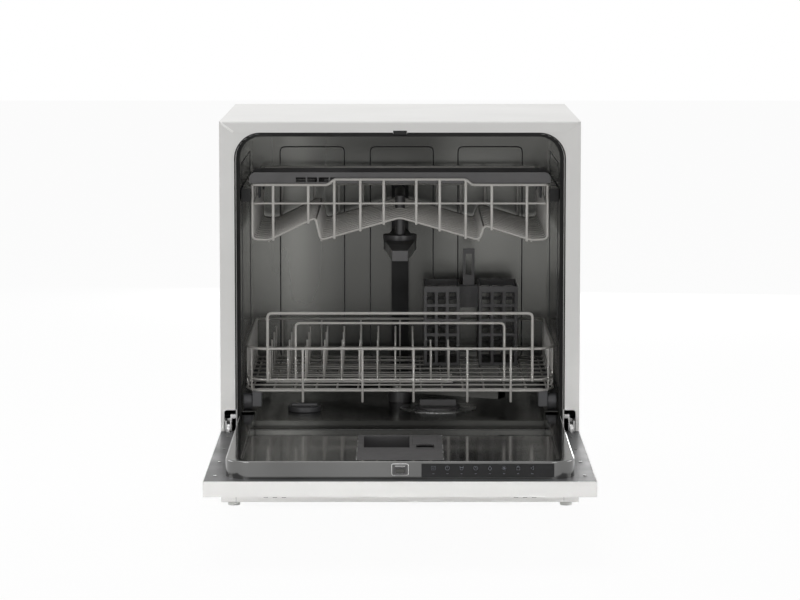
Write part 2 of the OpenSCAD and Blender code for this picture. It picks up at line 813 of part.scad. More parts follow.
module door_springs() {
    color(steel) placed() both_sides()
        translate([slot_x0 + slot_w / 2, bracket_y1 - 8, base_z]) difference() {
            cylinder(r = 7, h = bracket_z0 - base_z, $fn = 32);
            translate([0, 0, -1]) cylinder(r = 5.5, h = bracket_z0 - base_z + 2, $fn = 32);
        }
}

module latch_hook() {
    tongue_face = hinge_in + tongue_z0 - hinge_z;
    tongue_back = hinge_in + tongue_z1 - hinge_z;
    drop = 3.5;
    color(black) placed() difference() {
        along_x(-latch_x, latch_x) polygon([[0.3, open_top + latch_rise], [0.3, open_top - 0.8],
            [2, open_top - 0.8], [tongue_face - 2, open_top - drop], [20, open_top - drop],
            [20, open_top], [sheet + frame_t / 2, open_top],
            [sheet + frame_t / 2, open_top + latch_rise]]);
        block([-tongue_half - 1.5, tongue_face - 1.8, open_top - drop - 1],
            [tongue_half + 1.5, tongue_back + 1.8, open_top + 1]);
    }
}

module latch_housing() {
    color(dark_grey) placed() difference() {
        block([-latch_half, liner_y0 - bezel_t, latch_z0], [latch_half, liner_y0 + latch_l, latch_z1]);
        block([-tongue_half - 0.3, liner_y0 - bezel_t - 1, tongue_z0 - 0.3],
            [tongue_half + 0.3, tongue_y0 + tongue_l + tongue_travel + 0.5, tongue_z1 + 0.3]);
    }
}

module latch_tongue() {
    color(steel) placed()
        block([-tongue_half, tongue_y0, tongue_z0], [tongue_half, tongue_y0 + tongue_l, tongue_z1]);
}

// ---------------------------------------------------------------- door

// The door's outline seen from above, drawn in by g: a wide plate and a narrower tail
function door_outline(g) = [[-half_w + g, -door_reach + g], [half_w - g, -door_reach + g],
    [half_w - g, -2 - g], [open_x - 1.5 - g, -2 - g], [open_x - 1.5 - g, door_tail - g],
    [-open_x + 1.5 + g, door_tail - g], [-open_x + 1.5 + g, -2 - g], [-half_w + g, -2 - g]];

module door_panel() {
    color(paint) placed() difference() {
        translate([0, 0, door_low]) linear_extrude(height = door_t) polygon(door_outline(0));
        translate([0, 0, door_low + sheet]) linear_extrude(height = door_t)
            polygon(door_outline(sheet));
        both_sides() block([slot_x0, -20, door_low + sheet], [slot_x0 + slot_w, 1, door_top_z + 1]);
    }
}

module door_carrier() {
    color(dark_steel) placed() difference() {
        translate([0, 0, door_top_z - sheet]) linear_extrude(height = sheet)
            polygon(door_outline(sheet + 0.1));
        both_sides() block([slot_x0, -17, door_low], [slot_x0 + slot_w, 1, door_top_z + 1]);
    }
}

module liner_outline(g) {
    polygon(rounded(-liner_x + g, liner_y0 + g, liner_x - g, liner_y1 - g, liner_r - g,
        liner_rear_r - g));
}

// The outline inside the liner's rim, grown by g; it is open towards the hinges
module recess_outline(g) {
    polygon(rounded(-recess_x - g, recess_y0 - g, recess_x + g, liner_y1 + 1, recess_r + g, eps));
}

module door_liner() {
    over = liner_h + 1;
    color(steel) placed() difference() {
        translate([0, 0, door_top_z]) linear_extrude(height = liner_h) liner_outline(0);
        translate([0, 0, door_top_z - 1]) linear_extrude(height = over - sheet) difference() {
            liner_outline(sheet);
            recess_outline(sheet);
        }
        translate([0, 0, door_top_z - 1]) linear_extrude(height = over - liner_recess - sheet)
            intersection() {
                liner_outline(sheet);
                translate([-liner_x, liner_y0]) square([2 * liner_x, step_y - sheet - liner_y0]);
            }
        translate([0, 0, recess_z]) linear_extrude(height = over) recess_outline(0);
        block([-recess_x, step_y, door_top_z + sheet], [recess_x, liner_y1 + 1, track_z + 1]);
        block([-disp_x - 0.2, disp_y0 - 0.2, recess_z - 5], [disp_x + 0.2, disp_y1 + 0.2, track_z + 1]);
        block([-latch_half, liner_y0 - 1, latch_z0], [latch_half, recess_y0 - sheet, latch_z1]);
    }
}

module control_strip() {
    color(black) placed()
        block([30, liner_y0 - 1, door_top_z + 3], [liner_x - liner_r + 6, liner_y0, track_z - 3]);
}

module touch_icons() {
    first = 46.6;
    pitch = 19.8;
    z = track_z - 9;
    color(blue_print) placed() for (i = [0:icon_count - 1]) {
        x = first + pitch * i;
        translate([x, liner_y0 - 1, z]) rotate([90, 0, 0]) linear_extrude(height = 0.3)
            if (i % 2 == 0) difference() {
                circle(d = icon_size, $fn = 24);
                circle(d = icon_size - 2, $fn = 24);
            } else square([icon_size, icon_size / 3], center = true);
        translate([x, liner_y0 - 1, z - 8]) rotate([90, 0, 0]) linear_extrude(height = 0.3)
            square([2.5, 1], center = true);
    }
}

module control_board() {
    y0 = -door_reach + 12;
    z0 = door_low + sheet;
    color(board_green) placed() {
        block([30, y0, z0 + 7], [200, y0 + 60, z0 + 9]);
        for (x = [34, 190], y = [y0 + 4, y0 + 50]) block([x, y, z0], [x + 6, y + 6, z0 + 8]);
    }
}

module bottom_seal() {
    color(black) placed() block([-open_x + 0.2, door_tail + soft_gap, sill_low - seal_h],
        [open_x - 0.2, gasket_y + sheet, sill_low]);
}

module door_screws() {
    color(steel) placed() for (s = [-1, 1], i = [0:3])
        translate([s * (liner_x + half_w) / 2, -60 - i * (door_reach - 110) / 3, door_top_z])
            cylinder(d = 5, h = 0.7, $fn = 24);
}

module dispenser_body() {
    notch_l = 45;
    color(dark_grey) placed() difference() {
        block([-disp_x, disp_y0, door_top_z + sheet], [disp_x, disp_y1, disp_z]);
        block([cup_x0, cup_y0, cup_floor_z], [cup_x1, cup_y1, disp_z + 1]);
        block([cup_x0, cup_y0 - lid_travel - 8, lid_z0 - soft_gap],
            [cup_x1, cup_y0 + 1, lid_z0 + lid_t + soft_gap]);
        block([flap_x0 - soft_gap, flap_axis_y - flap_l - soft_gap, disp_z - 12],
            [flap_x1 + soft_gap, cup_y1, disp_z + 1]);
        block([flap_x0 + 5, flap_axis_y - flap_l - notch_l, disp_z - 4],
            [flap_x1 - 5, flap_axis_y - flap_l, disp_z + 1]);
        translate([flap_x0 - 3, flap_axis_y, flap_axis_z]) rotate([0, 90, 0])
            cylinder(d = flap_pin_d + 2 * run_fit, h = flap_x1 - flap_x0 + 6, $fn = 24);
    }
}

module detergent_lid() {
    ridge = 2.7;
    y1 = cup_y0 + 3;
    y0 = y1 - lid_travel - 8;
    color(dark_grey) placed() {
        block([cup_x0 + soft_gap, y0 + 1, lid_z0], [cup_x1 - soft_gap, y1, lid_z0 + lid_t]);
        block([cup_x0 + 6, y1 - ridge, lid_z0], [cup_x1 - 6, y1, disp_z - 0.5]);
    }
}

module rinse_flap() {
    color(grey) placed() difference() {
        union() {
            block([flap_x0, flap_axis_y - flap_l, disp_z - flap_t],
                [flap_x1, flap_axis_y - 0.2, disp_z]);
            translate([flap_x0, flap_axis_y, flap_axis_z]) rotate([0, 90, 0])
                cylinder(r = 1.6, h = flap_x1 - flap_x0, $fn = 24);
            translate([flap_x0 - 2, flap_axis_y, flap_axis_z]) rotate([0, 90, 0])
                cylinder(d = flap_pin_d, h = flap_x1 - flap_x0 + 4, $fn = 24);
        }
        translate([(flap_x0 + flap_x1) / 2, flap_axis_y - flap_l - 8, disp_z - 5])
            cylinder(r = 14, h = 10, $fn = 48);
    }
}

// ---------------------------------------------------------------- lower rack

module lower_rack_floor() {
    bars_x = spread(-lower_x + 3 * wire_d, lower_x - 3 * wire_d, 15);
    bars_y = spread(lower_y0 + 2 * wire_d, lower_y1 - 2 * wire_d, 9);
    plan = [[-lower_front_x, lower_y0 + wire_d], [lower_front_x, lower_y0 + wire_d],
        [lower_x - wire_d, lower_y0 + chamfer_l], [lower_x - wire_d, lower_y1 - wire_d],
        [-lower_x + wire_d, lower_y1 - wire_d], [-lower_x + wire_d, lower_y0 + chamfer_l]];
    color(wire_grey) placed() translate([0, 0, lower_floor_z]) {
        linear_extrude(height = wire_d) intersection() {
            union() {
                for (x = bars_x) translate([x - wire_d / 2, lower_y0])
                    square([wire_d, lower_depth]);
                for (y = bars_y) translate([-lower_x, y - wire_d / 2])
                    square([2 * lower_x, wire_d]);
            }
            polygon(plan);
        }
        translate([0, 0, wire_d / 2]) linear_extrude(height = wire_d / 2 + tine_d)
            for (r = [0:len(tine_rows) - 1]) translate([tine_x0 - tine_d / 2, tine_rows[r]])
                square([tine_n(r) * tine_pitch + 2 * tine_d, tine_d]);
    }
}

// One flat wall of wires, width w, with levels at zs and uprights at xs down to z0
module wall_grid(w, zs, xs, z0, z1) {
    for (z = zs) translate([-w / 2, z]) square([w, wire_d]);
    for (x = xs) translate([x - wire_d / 2, z0]) square([wire_d, z1 - z0]);
}

module lower_rack_walls() {
    levels = [lower_floor_z, lower_mid_z, lower_rim_z];
    uprights = [-150, -58, 21, 104, 171];
    side_l = lower_y1 - wire_d - lower_y0 - chamfer_l - 0.4;
    corner_l = norm([lower_x - lower_front_x, chamfer_l]) - 2 * wire_d;
    corner_a = atan2(chamfer_l, lower_x - lower_front_x);
    top = lower_rim_z + wire_d;
    color(wire_grey) placed() {
        along_y(lower_y0, lower_y0 + wire_d) wall_grid(2 * lower_front_x, levels,
            uprights, lower_floor_z - leg_drop, top);
        along_y(lower_y1 - wire_d, lower_y1) wall_grid(2 * lower_x, levels,
            spread(-lower_x + 2 * wire_d, lower_x - 2 * wire_d, 7), lower_floor_z, top);
        both_sides() {
            translate([0, lower_y0 + chamfer_l + 0.2 + side_l / 2, 0])
                along_x(lower_x - wire_d, lower_x) wall_grid(side_l, levels,
                    spread(-side_l / 2 + wire_d, side_l / 2 - wire_d, 7), lower_floor_z, top);
            translate([(lower_x + lower_front_x) / 2, lower_y0 + chamfer_l / 2, 0])
                rotate([0, 0, corner_a]) along_y(0, wire_d) wall_grid(corner_l + 0.6,
                    [lower_mid_z, lower_rim_z], [0], lower_mid_z, top);
        }
    }
}

module lower_rack_tines() {
    z0 = lower_floor_z + wire_d + tine_d;
    color(wire_grey) placed() for (r = [0:len(tine_rows) - 1], i = [0:tine_n(r)])
        translate([tine_x0 + i * tine_pitch, tine_rows[r], z0]) cube([tine_d, tine_d, tine_h - tine_d]);
}

module lower_rack_handles() {
    low = lower_mid_z;
    high = lower_rim_z + loop_h;
    color(wire_grey) placed() {
        along_y(lower_y0 - wire_d, lower_y0) wire2d([[-outer_loop_x, low], [-outer_loop_x, high - 8],
            [-outer_loop_x + 8, high], [outer_loop_x - 8, high], [outer_loop_x, high - 8],
            [outer_loop_x, low]]);
        along_y(lower_y0 + wire_d, lower_y0 + 2 * wire_d) wire2d([[-inner_loop_x, low],
            [-inner_loop_x, high - inner_loop_drop - 8], [-inner_loop_x + 8, high - inner_loop_drop],
            [inner_loop_x - 8, high - inner_loop_drop], [inner_loop_x, high - inner_loop_drop - 8],
            [inner_loop_x, low]]);
    }
}

module roller_brackets() {
    low = track_z + 5.5;
    color(grey) placed() both_sides() for (y = [front_axle_y, rear_axle_y]) {
        block([holder_x1 - holder_w, y - holder_l / 2, low],
            [holder_x1, y + holder_l / 2, lower_floor_z]);
        translate([holder_x1 - 2, y, roller_z]) rotate([0, 90, 0])
            cylinder(d = roller_axle_d, h = roller_x1 + 1 - holder_x1 + 2, $fn = 48);
    }
}

// A pair of bored rollers on one axle line
module roller_pair(x0, w, r, bore, y, z) {
    placed() both_sides() translate([x0, y, z]) rotate([0, 90, 0]) difference() {
        cylinder(r = r, h = w, $fn = 64);
        translate([0, 0, -1]) cylinder(d = bore + 2 * run_fit, h = w + 2, $fn = 48);
    }
}

module lower_front_rollers() {
    color(grey) roller_pair(roller_x0, roller_w, roller_r, roller_axle_d, front_axle_y, roller_z);
}

module lower_rear_rollers() {
    color(grey) roller_pair(roller_x0, roller_w, roller_r, roller_axle_d, rear_axle_y, roller_z);
}

// One open basket with rows of windows in its long walls
module basket(x0, x1) {
    cols = 3;
    rows = 5;
    bar = 5;
    col_w = (x1 - x0 - bar) / cols;
    row_h = (basket_h - 2 * bar) / rows;
    y0 = basket_y1 - basket_l;
    difference() {
        block([x0, y0, basket_z0], [x1, basket_y1, basket_z0 + basket_h]);
        block([x0 + basket_wall, y0 + basket_wall, basket_z0 + basket_wall],
            [x1 - basket_wall, basket_y1 - basket_wall, basket_z0 + basket_h + 1]);
        for (i = [0:cols - 1], j = [0:rows - 1])
            block([x0 + bar + i * col_w, y0 - 1, basket_z0 + bar + j * row_h],
                [x0 + (i + 1) * col_w, basket_y1 + 1, basket_z0 + (j + 1) * row_h]);
    }
}

module cutlery_basket() {
    y = basket_y1 - basket_l / 2;
    top = basket_z0 + basket_h;
    mid = (basket_x1 + basket_x2) / 2;
    color(dark_grey) placed() {
        basket(basket_x0, basket_x1);
        basket(basket_x2, basket_x3);
        block([basket_x1 - 1, y - 8, top - 40], [basket_x2 + 1, y + 8, top - 4]);
        difference() {
            block([mid - 9.5, y - 4, top - 5], [mid + 9.5, y + 4, top + handle_h]);
            block([mid - 5, y - 5, top + 14], [mid + 5, y + 5, top + handle_h - 8]);
        }
    }
}

// ---------------------------------------------------------------- upper rack

// One flat stretch of the upper floor from a to b, each [x, z], as a grid of wires
module floor_strip(a, b) {
    run = norm(b - a);
    y0 = upper_y0 + wire_d + 0.2;
    y1 = upper_y1 - wire_d - 0.2;
    d = wire_d - 1;
    translate([a[0], 0, a[1]]) rotate([0, -atan2(b[1] - a[1], b[0] - a[0]), 0])
        translate([0, 0, -d / 2]) linear_extrude(height = d) {
            for (x = [0, run - d]) translate([x, y0]) square([d, y1 - y0]);
            for (y = spread(y0 + 6, y1 - 6 - d, 12)) translate([0, y]) square([run, d]);
        }
}

module upper_rack_floor() {
    p = upper_floor_profile;
    gap = 0.4;
    centre_gap = duct_d / 2 + 2;
    slope = (hill_z - floor_low_z) / valley_x;
    color(wire_grey) placed() {
        floor_strip(p[0] + [wire_d + gap, 0], p[1] - [gap, 0]);
        floor_strip(p[1] + [gap, 0], p[2] - [gap, 0]);
        floor_strip(p[3] + [gap, 0], [-centre_gap, hill_z - slope * centre_gap]);
        floor_strip([centre_gap, hill_z - slope * centre_gap], p[5] - [gap, 0]);
        floor_strip(p[6] + [gap, 0], p[7] - [gap, 0]);
        floor_strip(p[7] + [gap, 0], p[8] - [wire_d + gap, 0]);
    }
}

module upper_rack_walls() {
    front_x = [for (k = [195, 141, 101, 61, 25]) k * upper_x / 229];
    side_l = upper_depth - 2 * wire_d - 0.4;
    rim = [[-upper_x, rim_z], [-step_x[1], rim_z], [-step_x[0], rim_z + rim_step],
        [step_x[0], rim_z + rim_step], [step_x[1], rim_z], [upper_x, rim_z]];
    color(wire_grey) placed() {
        for (y = [upper_y0, upper_y1 - wire_d]) along_y(y, y + wire_d) {
            wire2d(y == upper_y0 ? rim : [[-upper_x, rim_z], [upper_x, rim_z]]);
            wire2d(upper_floor_profile);
            translate([-upper_x, mid_wire_z - wire_d / 2]) square([2 * upper_x, wire_d]);
            for (s = [-1, 1]) translate([s * (upper_x - wire_d / 2) - wire_d / 2, floor_low_z])
                square([wire_d, rim_z - floor_low_z]);
            for (s = [-1, 1], x = front_x) {
                low = lookup(s * x, upper_floor_profile) - knob;
                high = y == upper_y0 && x < step_x[0] ? rim_z + rim_step : rim_z;
                translate([s * x - wire_d / 2, low]) square([wire_d, high - low]);
            }
        }
        both_sides() translate([0, upper_y0 + wire_d + 0.2 + side_l / 2, 0])
            along_x(upper_x - wire_d, upper_x) translate([0, -wire_d / 2]) wall_grid(side_l,
                [floor_low_z, mid_wire_z, rim_z], spread(-side_l / 2 + wire_d,
                side_l / 2 - wire_d, 8), floor_low_z, rim_z + wire_d / 2);
    }
}

module upper_rack_brackets() {
    z0 = mid_wire_z + wire_d / 2 + 0.5;
    color(grey) placed() both_sides() for (y = [upper_front_axle_y, upper_rear_axle_y]) {
        block([upper_x - wire_d - 3, y - plate_l / 2, z0 - 8],
            [upper_x - wire_d, y + plate_l / 2, rim_z]);
        translate([upper_x - wire_d - 1, y, rail_z]) rotate([0, 90, 0])
            cylinder(d = wheel_axle_d, h = wheel_x0 + wheel_w + 0.5 - upper_x + wire_d + 1, $fn = 48);
    }
}

module upper_front_rollers() {
    color(grey) roller_pair(wheel_x0, wheel_w, wheel_r, wheel_axle_d, upper_front_axle_y, rail_z);
}

module upper_rear_rollers() {
    color(grey) roller_pair(wheel_x0, wheel_w, wheel_r, wheel_axle_d, upper_rear_axle_y, rail_z);
}

module upper_rails() {
    color(steel) placed() both_sides() along_y(rail_y0, rail_y0 + rail_l) {
        translate([rail_x0, rail_z0]) square([rail_x1 - rail_x0, rail_wall]);
        translate([rail_x0, rail_z0 + rail_h - rail_wall]) square([rail_x1 - rail_x0, rail_wall]);
        translate([rail_web_x, rail_z0]) square([rail_wall, rail_h]);
    }
}

module rail_caps() {
    cap_t = 2;
    color(black) placed() both_sides() block([rail_x0 - 2, rail_y0 - cap_t, rail_z0 - 1],
        [rail_x1, rail_y0, rail_z0 + rail_h + 1]);
}

module rail_glides() {
    z0 = rail_z0 + rail_wall + soft_gap;
    z1 = rail_z0 + rail_h - rail_wall - soft_gap;
    color(grey) placed() both_sides() for (y = glide_y)
        block([rail_web_x + rail_wall + 0.2, y, z0], [tub_x, y + glide_l, z1]);
}

module utensil_tray() {
    y0 = upper_y0 + wire_d + soft_gap;
    y1 = y0 + tray_depth;
    z0 = rim_z + wire_d / 2 + soft_gap;
    x = upper_x + 3;
    r = 10;
    wall = 2;
    color(dark_grey) placed() difference() {
        along_y(y0, y1) polygon(rounded(-x, z0, x, z0 + tray_h, 1, r));
        along_y(y0 + wall, y1 - wall) polygon(concat([[x - wall, z0 + wall],
            [x - wall, z0 + tray_h + 1], [-x + wall, z0 + tray_h + 1], [-x + wall, z0 + wall]]));
        for (i = [0:3]) block([-160 + 17.6 * i, y0 - 1, z0 + wall],
            [-160 + 17.6 * i + (i < 3 ? 15 : 8), y0 + wall + 1, z0 + wall + 7]);
        for (x = spread(-200, 200, 9), y = [y0 + 12, y0 + 42]) block([x - 18, y, z0 - 1],
            [x + 18, y + 18, z0 + wall + 1]);
    }
}

// ---------------------------------------------------------------- drawing

side_panels();
top_cover();
rear_panel();
front_frame();
base_tray();
plinth();
feet();
tub_shell();
door_gasket();
air_break();
sump();
filter_plate();
riser_duct();
spray_post();
circulation_pump();
drain_pump();
softener_tank();
inlet_valve();
drain_outlet();
mains_gland();
hinge_brackets();
door_springs();
latch_hook();
rail_glides();
casing_screws();
door_panel();
door_carrier();
door_liner();
control_strip();
touch_icons();
control_board();
latch_housing();
dispenser_body();
hinge_arms();
bottom_seal();
door_screws();
latch_tongue();
detergent_lid();
rinse_flap();
filter_cup();
salt_cap();
lower_spray_arm();
upper_spray_arm();
upper_rails();
rail_caps();
upper_front_rollers();
upper_rear_rollers();
lower_front_rollers();
lower_rear_rollers();
lower_rack_floor();
lower_rack_walls();
lower_rack_tines();
lower_rack_handles();
roller_brackets();
cutlery_basket();
upper_rack_floor();
upper_rack_walls();
upper_rack_brackets();
utensil_tray();
upper_feed_duct();
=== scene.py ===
import json
import math

import bmesh
import bpy
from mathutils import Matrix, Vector


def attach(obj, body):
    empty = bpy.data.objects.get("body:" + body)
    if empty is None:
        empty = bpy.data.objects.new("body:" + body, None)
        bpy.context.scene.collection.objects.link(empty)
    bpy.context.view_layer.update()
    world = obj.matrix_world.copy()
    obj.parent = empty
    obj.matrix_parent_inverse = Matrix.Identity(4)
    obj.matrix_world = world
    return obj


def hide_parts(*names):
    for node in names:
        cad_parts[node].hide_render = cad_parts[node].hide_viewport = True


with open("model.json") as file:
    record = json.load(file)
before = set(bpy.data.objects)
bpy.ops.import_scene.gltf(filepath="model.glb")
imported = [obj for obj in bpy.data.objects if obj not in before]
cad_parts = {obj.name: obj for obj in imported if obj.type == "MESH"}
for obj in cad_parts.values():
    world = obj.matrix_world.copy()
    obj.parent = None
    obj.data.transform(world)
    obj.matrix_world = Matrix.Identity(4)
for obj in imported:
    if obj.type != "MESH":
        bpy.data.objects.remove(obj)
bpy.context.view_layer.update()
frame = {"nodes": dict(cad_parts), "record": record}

NODES = frame["nodes"]
SLOT_OF = {p["node"]: p["material_slot"] for p in frame["record"]["subparts"]}
BODY_OF = {n: b for b, ns in frame["record"]["behaviour"]["bodies"].items() for n in ns}
FRONT_Y = -25.0  # the casing's front face in the row frame, in mm
MM = 0.001
WHITE = (1.0, 1.0, 1.0, 1.0)

# ---------------------------------------------------------------- camera and stage

CAMERA_AT = (0.0, -4.981, 0.885)
CAMERA_TILT = 83.52  # degrees up from straight down
CAMERA_LENS = 146.88  # mm, for a sensor 36 mm wide
SOFT_LIGHT = 0.27  # the world as a light; to the eye it is plain white
FLOOR_WHITE = 0.955  # the part of the floor's look that is white whatever the light
FLOOR_HALF = 12.0

cam_data = bpy.data.cameras.new("camera")
cam = bpy.data.objects.new("camera", cam_data)
bpy.context.scene.collection.objects.link(cam)
cam.location = CAMERA_AT
cam.rotation_euler = (math.radians(CAMERA_TILT), 0.0, 0.0)
cam_data.sensor_width = 36.0
cam_data.lens = CAMERA_LENS
cam_data.clip_end = 60.0
bpy.context.scene.camera = cam
bpy.context.scene.view_settings.view_transform = "Standard"


def ranged(tree, value, low, high, a=0.3, b=0.7):
    """Value from a to b becomes low to high."""
    node = tree.nodes.new("ShaderNodeMapRange")
    node.inputs["From Min"].default_value = a
    node.inputs["From Max"].default_value = b
    node.inputs["To Min"].default_value = low
    node.inputs["To Max"].default_value = high
    tree.links.new(value, node.inputs["Value"])
    return node.outputs["Result"]


def math_node(tree, operation, *values):
    """A math node on values, which are sockets or numbers."""
    node = tree.nodes.new("ShaderNodeMath")
    node.operation = operation
    for socket, value in zip(node.inputs, values):
        if isinstance(value, float):
            socket.default_value = value
        else:
            tree.links.new(value, socket)
    return node.outputs[0]


def camera_share(tree, amount):
    """Amount where the ray comes from the camera, a mirror or glass, and 0 for light."""
    path = tree.nodes.new("ShaderNodeLightPath").outputs
    seen = math_node(tree, "MAXIMUM", path["Is Camera Ray"], path["Is Glossy Ray"])
    both = math_node(tree, "MAXIMUM", seen, path["Is Transmission Ray"])
    return math_node(tree, "MULTIPLY", both, amount)


def plain_shader(tree, kind, colour, strength=None):
    shader = tree.nodes.new(kind)
    shader.inputs["Color"].default_value = colour
    if strength is not None:
        shader.inputs["Strength"].default_value = strength
    return shader.outputs[0]


def seen_or_lit(tree, out, lit, seen, amount):
    """The surface is `seen` to the eye, by amount, and `lit` to the light."""
    mix = tree.nodes.new("ShaderNodeMixShader")
    tree.links.new(camera_share(tree, amount), mix.inputs[0])
    tree.links.new(lit, mix.inputs[1])
    tree.links.new(seen, mix.inputs[2])
    tree.links.new(mix.outputs[0], out.inputs["Surface"])


def make_world():
    world = bpy.data.worlds.new("studio")
    bpy.context.scene.world = world
    world.use_nodes = True
    tree = world.node_tree
    tree.nodes.clear()
    out = tree.nodes.new("ShaderNodeOutputWorld")
    soft = plain_shader(tree, "ShaderNodeBackground", WHITE, SOFT_LIGHT)
    white = plain_shader(tree, "ShaderNodeBackground", WHITE, 1.0)
    seen_or_lit(tree, out, soft, white, 1.0)


def make_floor():
    mesh = bpy.data.meshes.new("studio_floor")
    bm = bmesh.new()
    bmesh.ops.create_grid(bm, x_segments=8, y_segments=8, size=FLOOR_HALF)
    bm.to_mesh(mesh)
    bm.free()
    floor = bpy.data.objects.new("studio_floor", mesh)
    bpy.context.scene.collection.objects.link(floor)
    mat = bpy.data.materials.new("studio_floor")
    mat.use_nodes = True
    tree = mat.node_tree
    tree.nodes.clear()
    out = tree.nodes.new("ShaderNodeOutputMaterial")
    diffuse = plain_shader(tree, "ShaderNodeBsdfDiffuse", (0.93, 0.93, 0.92, 1.0))
    glow = plain_shader(tree, "ShaderNodeEmission", WHITE, 1.0)
    seen_or_lit(tree, out, diffuse, glow, FLOOR_WHITE)
    mesh.materials.append(mat)


def soft_lamp(name, at, toward, size, power, spread_angle=180.0):
    """A rectangular lamp, in metres and watts, that the camera doesn't see."""
    data = bpy.data.lights.new(name, "AREA")
    data.shape = "RECTANGLE"
    data.size, data.size_y = size
    data.energy = power
    data.spread = math.radians(spread_angle)
    lamp = bpy.data.objects.new(name, data)
    bpy.context.scene.collection.objects.link(lamp)
    lamp.location = at
    lamp.rotation_euler = (Vector(toward) - Vector(at)).to_track_quat("-Z", "Y").to_euler()
    lamp.visible_camera = False
    return lamp


make_world()
make_floor()
soft_lamp("lamp_top", (-0.3, 0.4, 2.6), (0.0, 0.25, 0.4), (2.4, 1.7), 35.0)
soft_lamp("lamp_low_left", (-1.05, -2.6, 0.3), (0.0, 0.0, 0.2), (1.1, 0.5), 11.5)
soft_lamp("lamp_low_right", (1.15, -2.6, 0.3), (0.0, 0.0, 0.2), (0.9, 0.5), 9.0)
fill = soft_lamp("lamp_plinth", (0.0, -1.7, 0.05), (0.0, 0.0, 0.045), (1.0, 0.04), 0.18, 20.0)
fill.visible_glossy = False
soft_lamp("lamp_left", (-2.6, 0.25, 0.32), (0.0, 0.2, 0.3), (1.4, 0.5), 21.0)
soft_lamp("lamp_right", (2.6, 0.25, 0.32), (0.0, 0.2, 0.3), (1.4, 0.5), 21.0)
soft_lamp("lamp_behind", (0.3, 3.0, 0.32), (0.0, 0.2, 0.3), (1.6, 0.5), 24.0)

# ---------------------------------------------------------------- materials

TONE_WANDER = 0.06  # metres that the slow noise moves the painted reflection tones sideways
COAT_ROUGHNESS = 0.12
EVEN = (1.0, 1.0, 1.0)


def noise(tree, coords, scale, stretch, detail):
    place = tree.nodes.new("ShaderNodeMapping")
    place.inputs["Scale"].default_value = stretch
    tree.links.new(coords, place.inputs["Vector"])
    tex = tree.nodes.new("ShaderNodeTexNoise")
    tex.inputs["Scale"].default_value = scale
    tex.inputs["Detail"].default_value = detail
    tree.links.new(place.outputs["Vector"], tex.inputs["Vector"])
    return tex.outputs["Fac"]


def two_colours(tree, factor, light, dark):
    mix = tree.nodes.new("ShaderNodeMix")
    mix.data_type = "RGBA"
    mix.inputs["A"].default_value = (*light, 1.0)
    mix.inputs["B"].default_value = (*dark, 1.0)
    tree.links.new(factor, mix.inputs["Factor"])
    return mix.outputs["Result"]


def painted_reflection_tones(tree, coords, slow, shade, across):
    """The colour multiplied by tones that change along x, blurred by the slow noise.

    They stand in for the light and dark that polished steel mirrors in the photograph.
    """
    low, high = across[0][0], across[-1][0]
    split = tree.nodes.new("ShaderNodeSeparateXYZ")
    tree.links.new(coords, split.inputs[0])
    wander = math_node(tree, "MULTIPLY_ADD", slow, TONE_WANDER, split.outputs["X"])
    shift = TONE_WANDER / 2
    ramp = tree.nodes.new("ShaderNodeValToRGB")
    ramp.color_ramp.interpolation = "EASE"
    tree.links.new(ranged(tree, wander, 0.0, 1.0, low + shift, high + shift),
                   ramp.inputs["Fac"])
    stops = ramp.color_ramp.elements
    while len(stops) < len(across):
        stops.new(0.5)
    for stop, (x, tone) in zip(stops, across):
        stop.position = (x - low) / (high - low)
        stop.color = (tone, tone, tone, 1.0)
    product = tree.nodes.new("ShaderNodeMix")
    product.data_type = "RGBA"
    product.blend_type = "MULTIPLY"
    product.inputs["Factor"].default_value = 1.0
    tree.links.new(shade, product.inputs["A"])
    tree.links.new(ramp.outputs["Color"], product.inputs["B"])
    return product.outputs["Result"]


def finish(name, light, dark, rough, metal=0.0, scale=12.0, stretch=EVEN, grain=900.0,
           grain_stretch=EVEN, depth=0.00002, strength=0.25, coat=0.0, specular=0.5,
           across=None):
    """A finish with slow colour variation, uneven gloss and a fine bump.

    With across, a list of (x in metres, tone), the colour is also multiplied by painted
    reflection: light and dark tones across the width.
    """
    mat = bpy.data.materials.new(name)
    mat.use_nodes = True
    tree = mat.node_tree
    shader = tree.nodes["Principled BSDF"]
    coords = tree.nodes.new("ShaderNodeTexCoord").outputs["Object"]
    slow = noise(tree, coords, scale, stretch, detail=3.0)
    fine = noise(tree, coords, grain, grain_stretch, detail=2.0)
    shade = two_colours(tree, ranged(tree, slow, 0.0, 1.0), light, dark)
    # Painted reflection: light and dark tones across x multiplied into the colour.
    if across:
        shade = painted_reflection_tones(tree, coords, slow, shade, across)
    tree.links.new(shade, shader.inputs["Base Color"])
    tree.links.new(ranged(tree, slow, rough[0], rough[1]), shader.inputs["Roughness"])
    bump = tree.nodes.new("ShaderNodeBump")
    bump.inputs["Strength"].default_value = strength
    bump.inputs["Distance"].default_value = depth
    tree.links.new(fine, bump.inputs["Height"])
    tree.links.new(bump.outputs["Normal"], shader.inputs["Normal"])
    shader.inputs["Metallic"].default_value = metal
    shader.inputs["Specular IOR Level"].default_value = specular
    if coat:
        shader.inputs["Coat Weight"].default_value = coat
        shader.inputs["Coat Roughness"].default_value = COAT_ROUGHNESS
    return mat
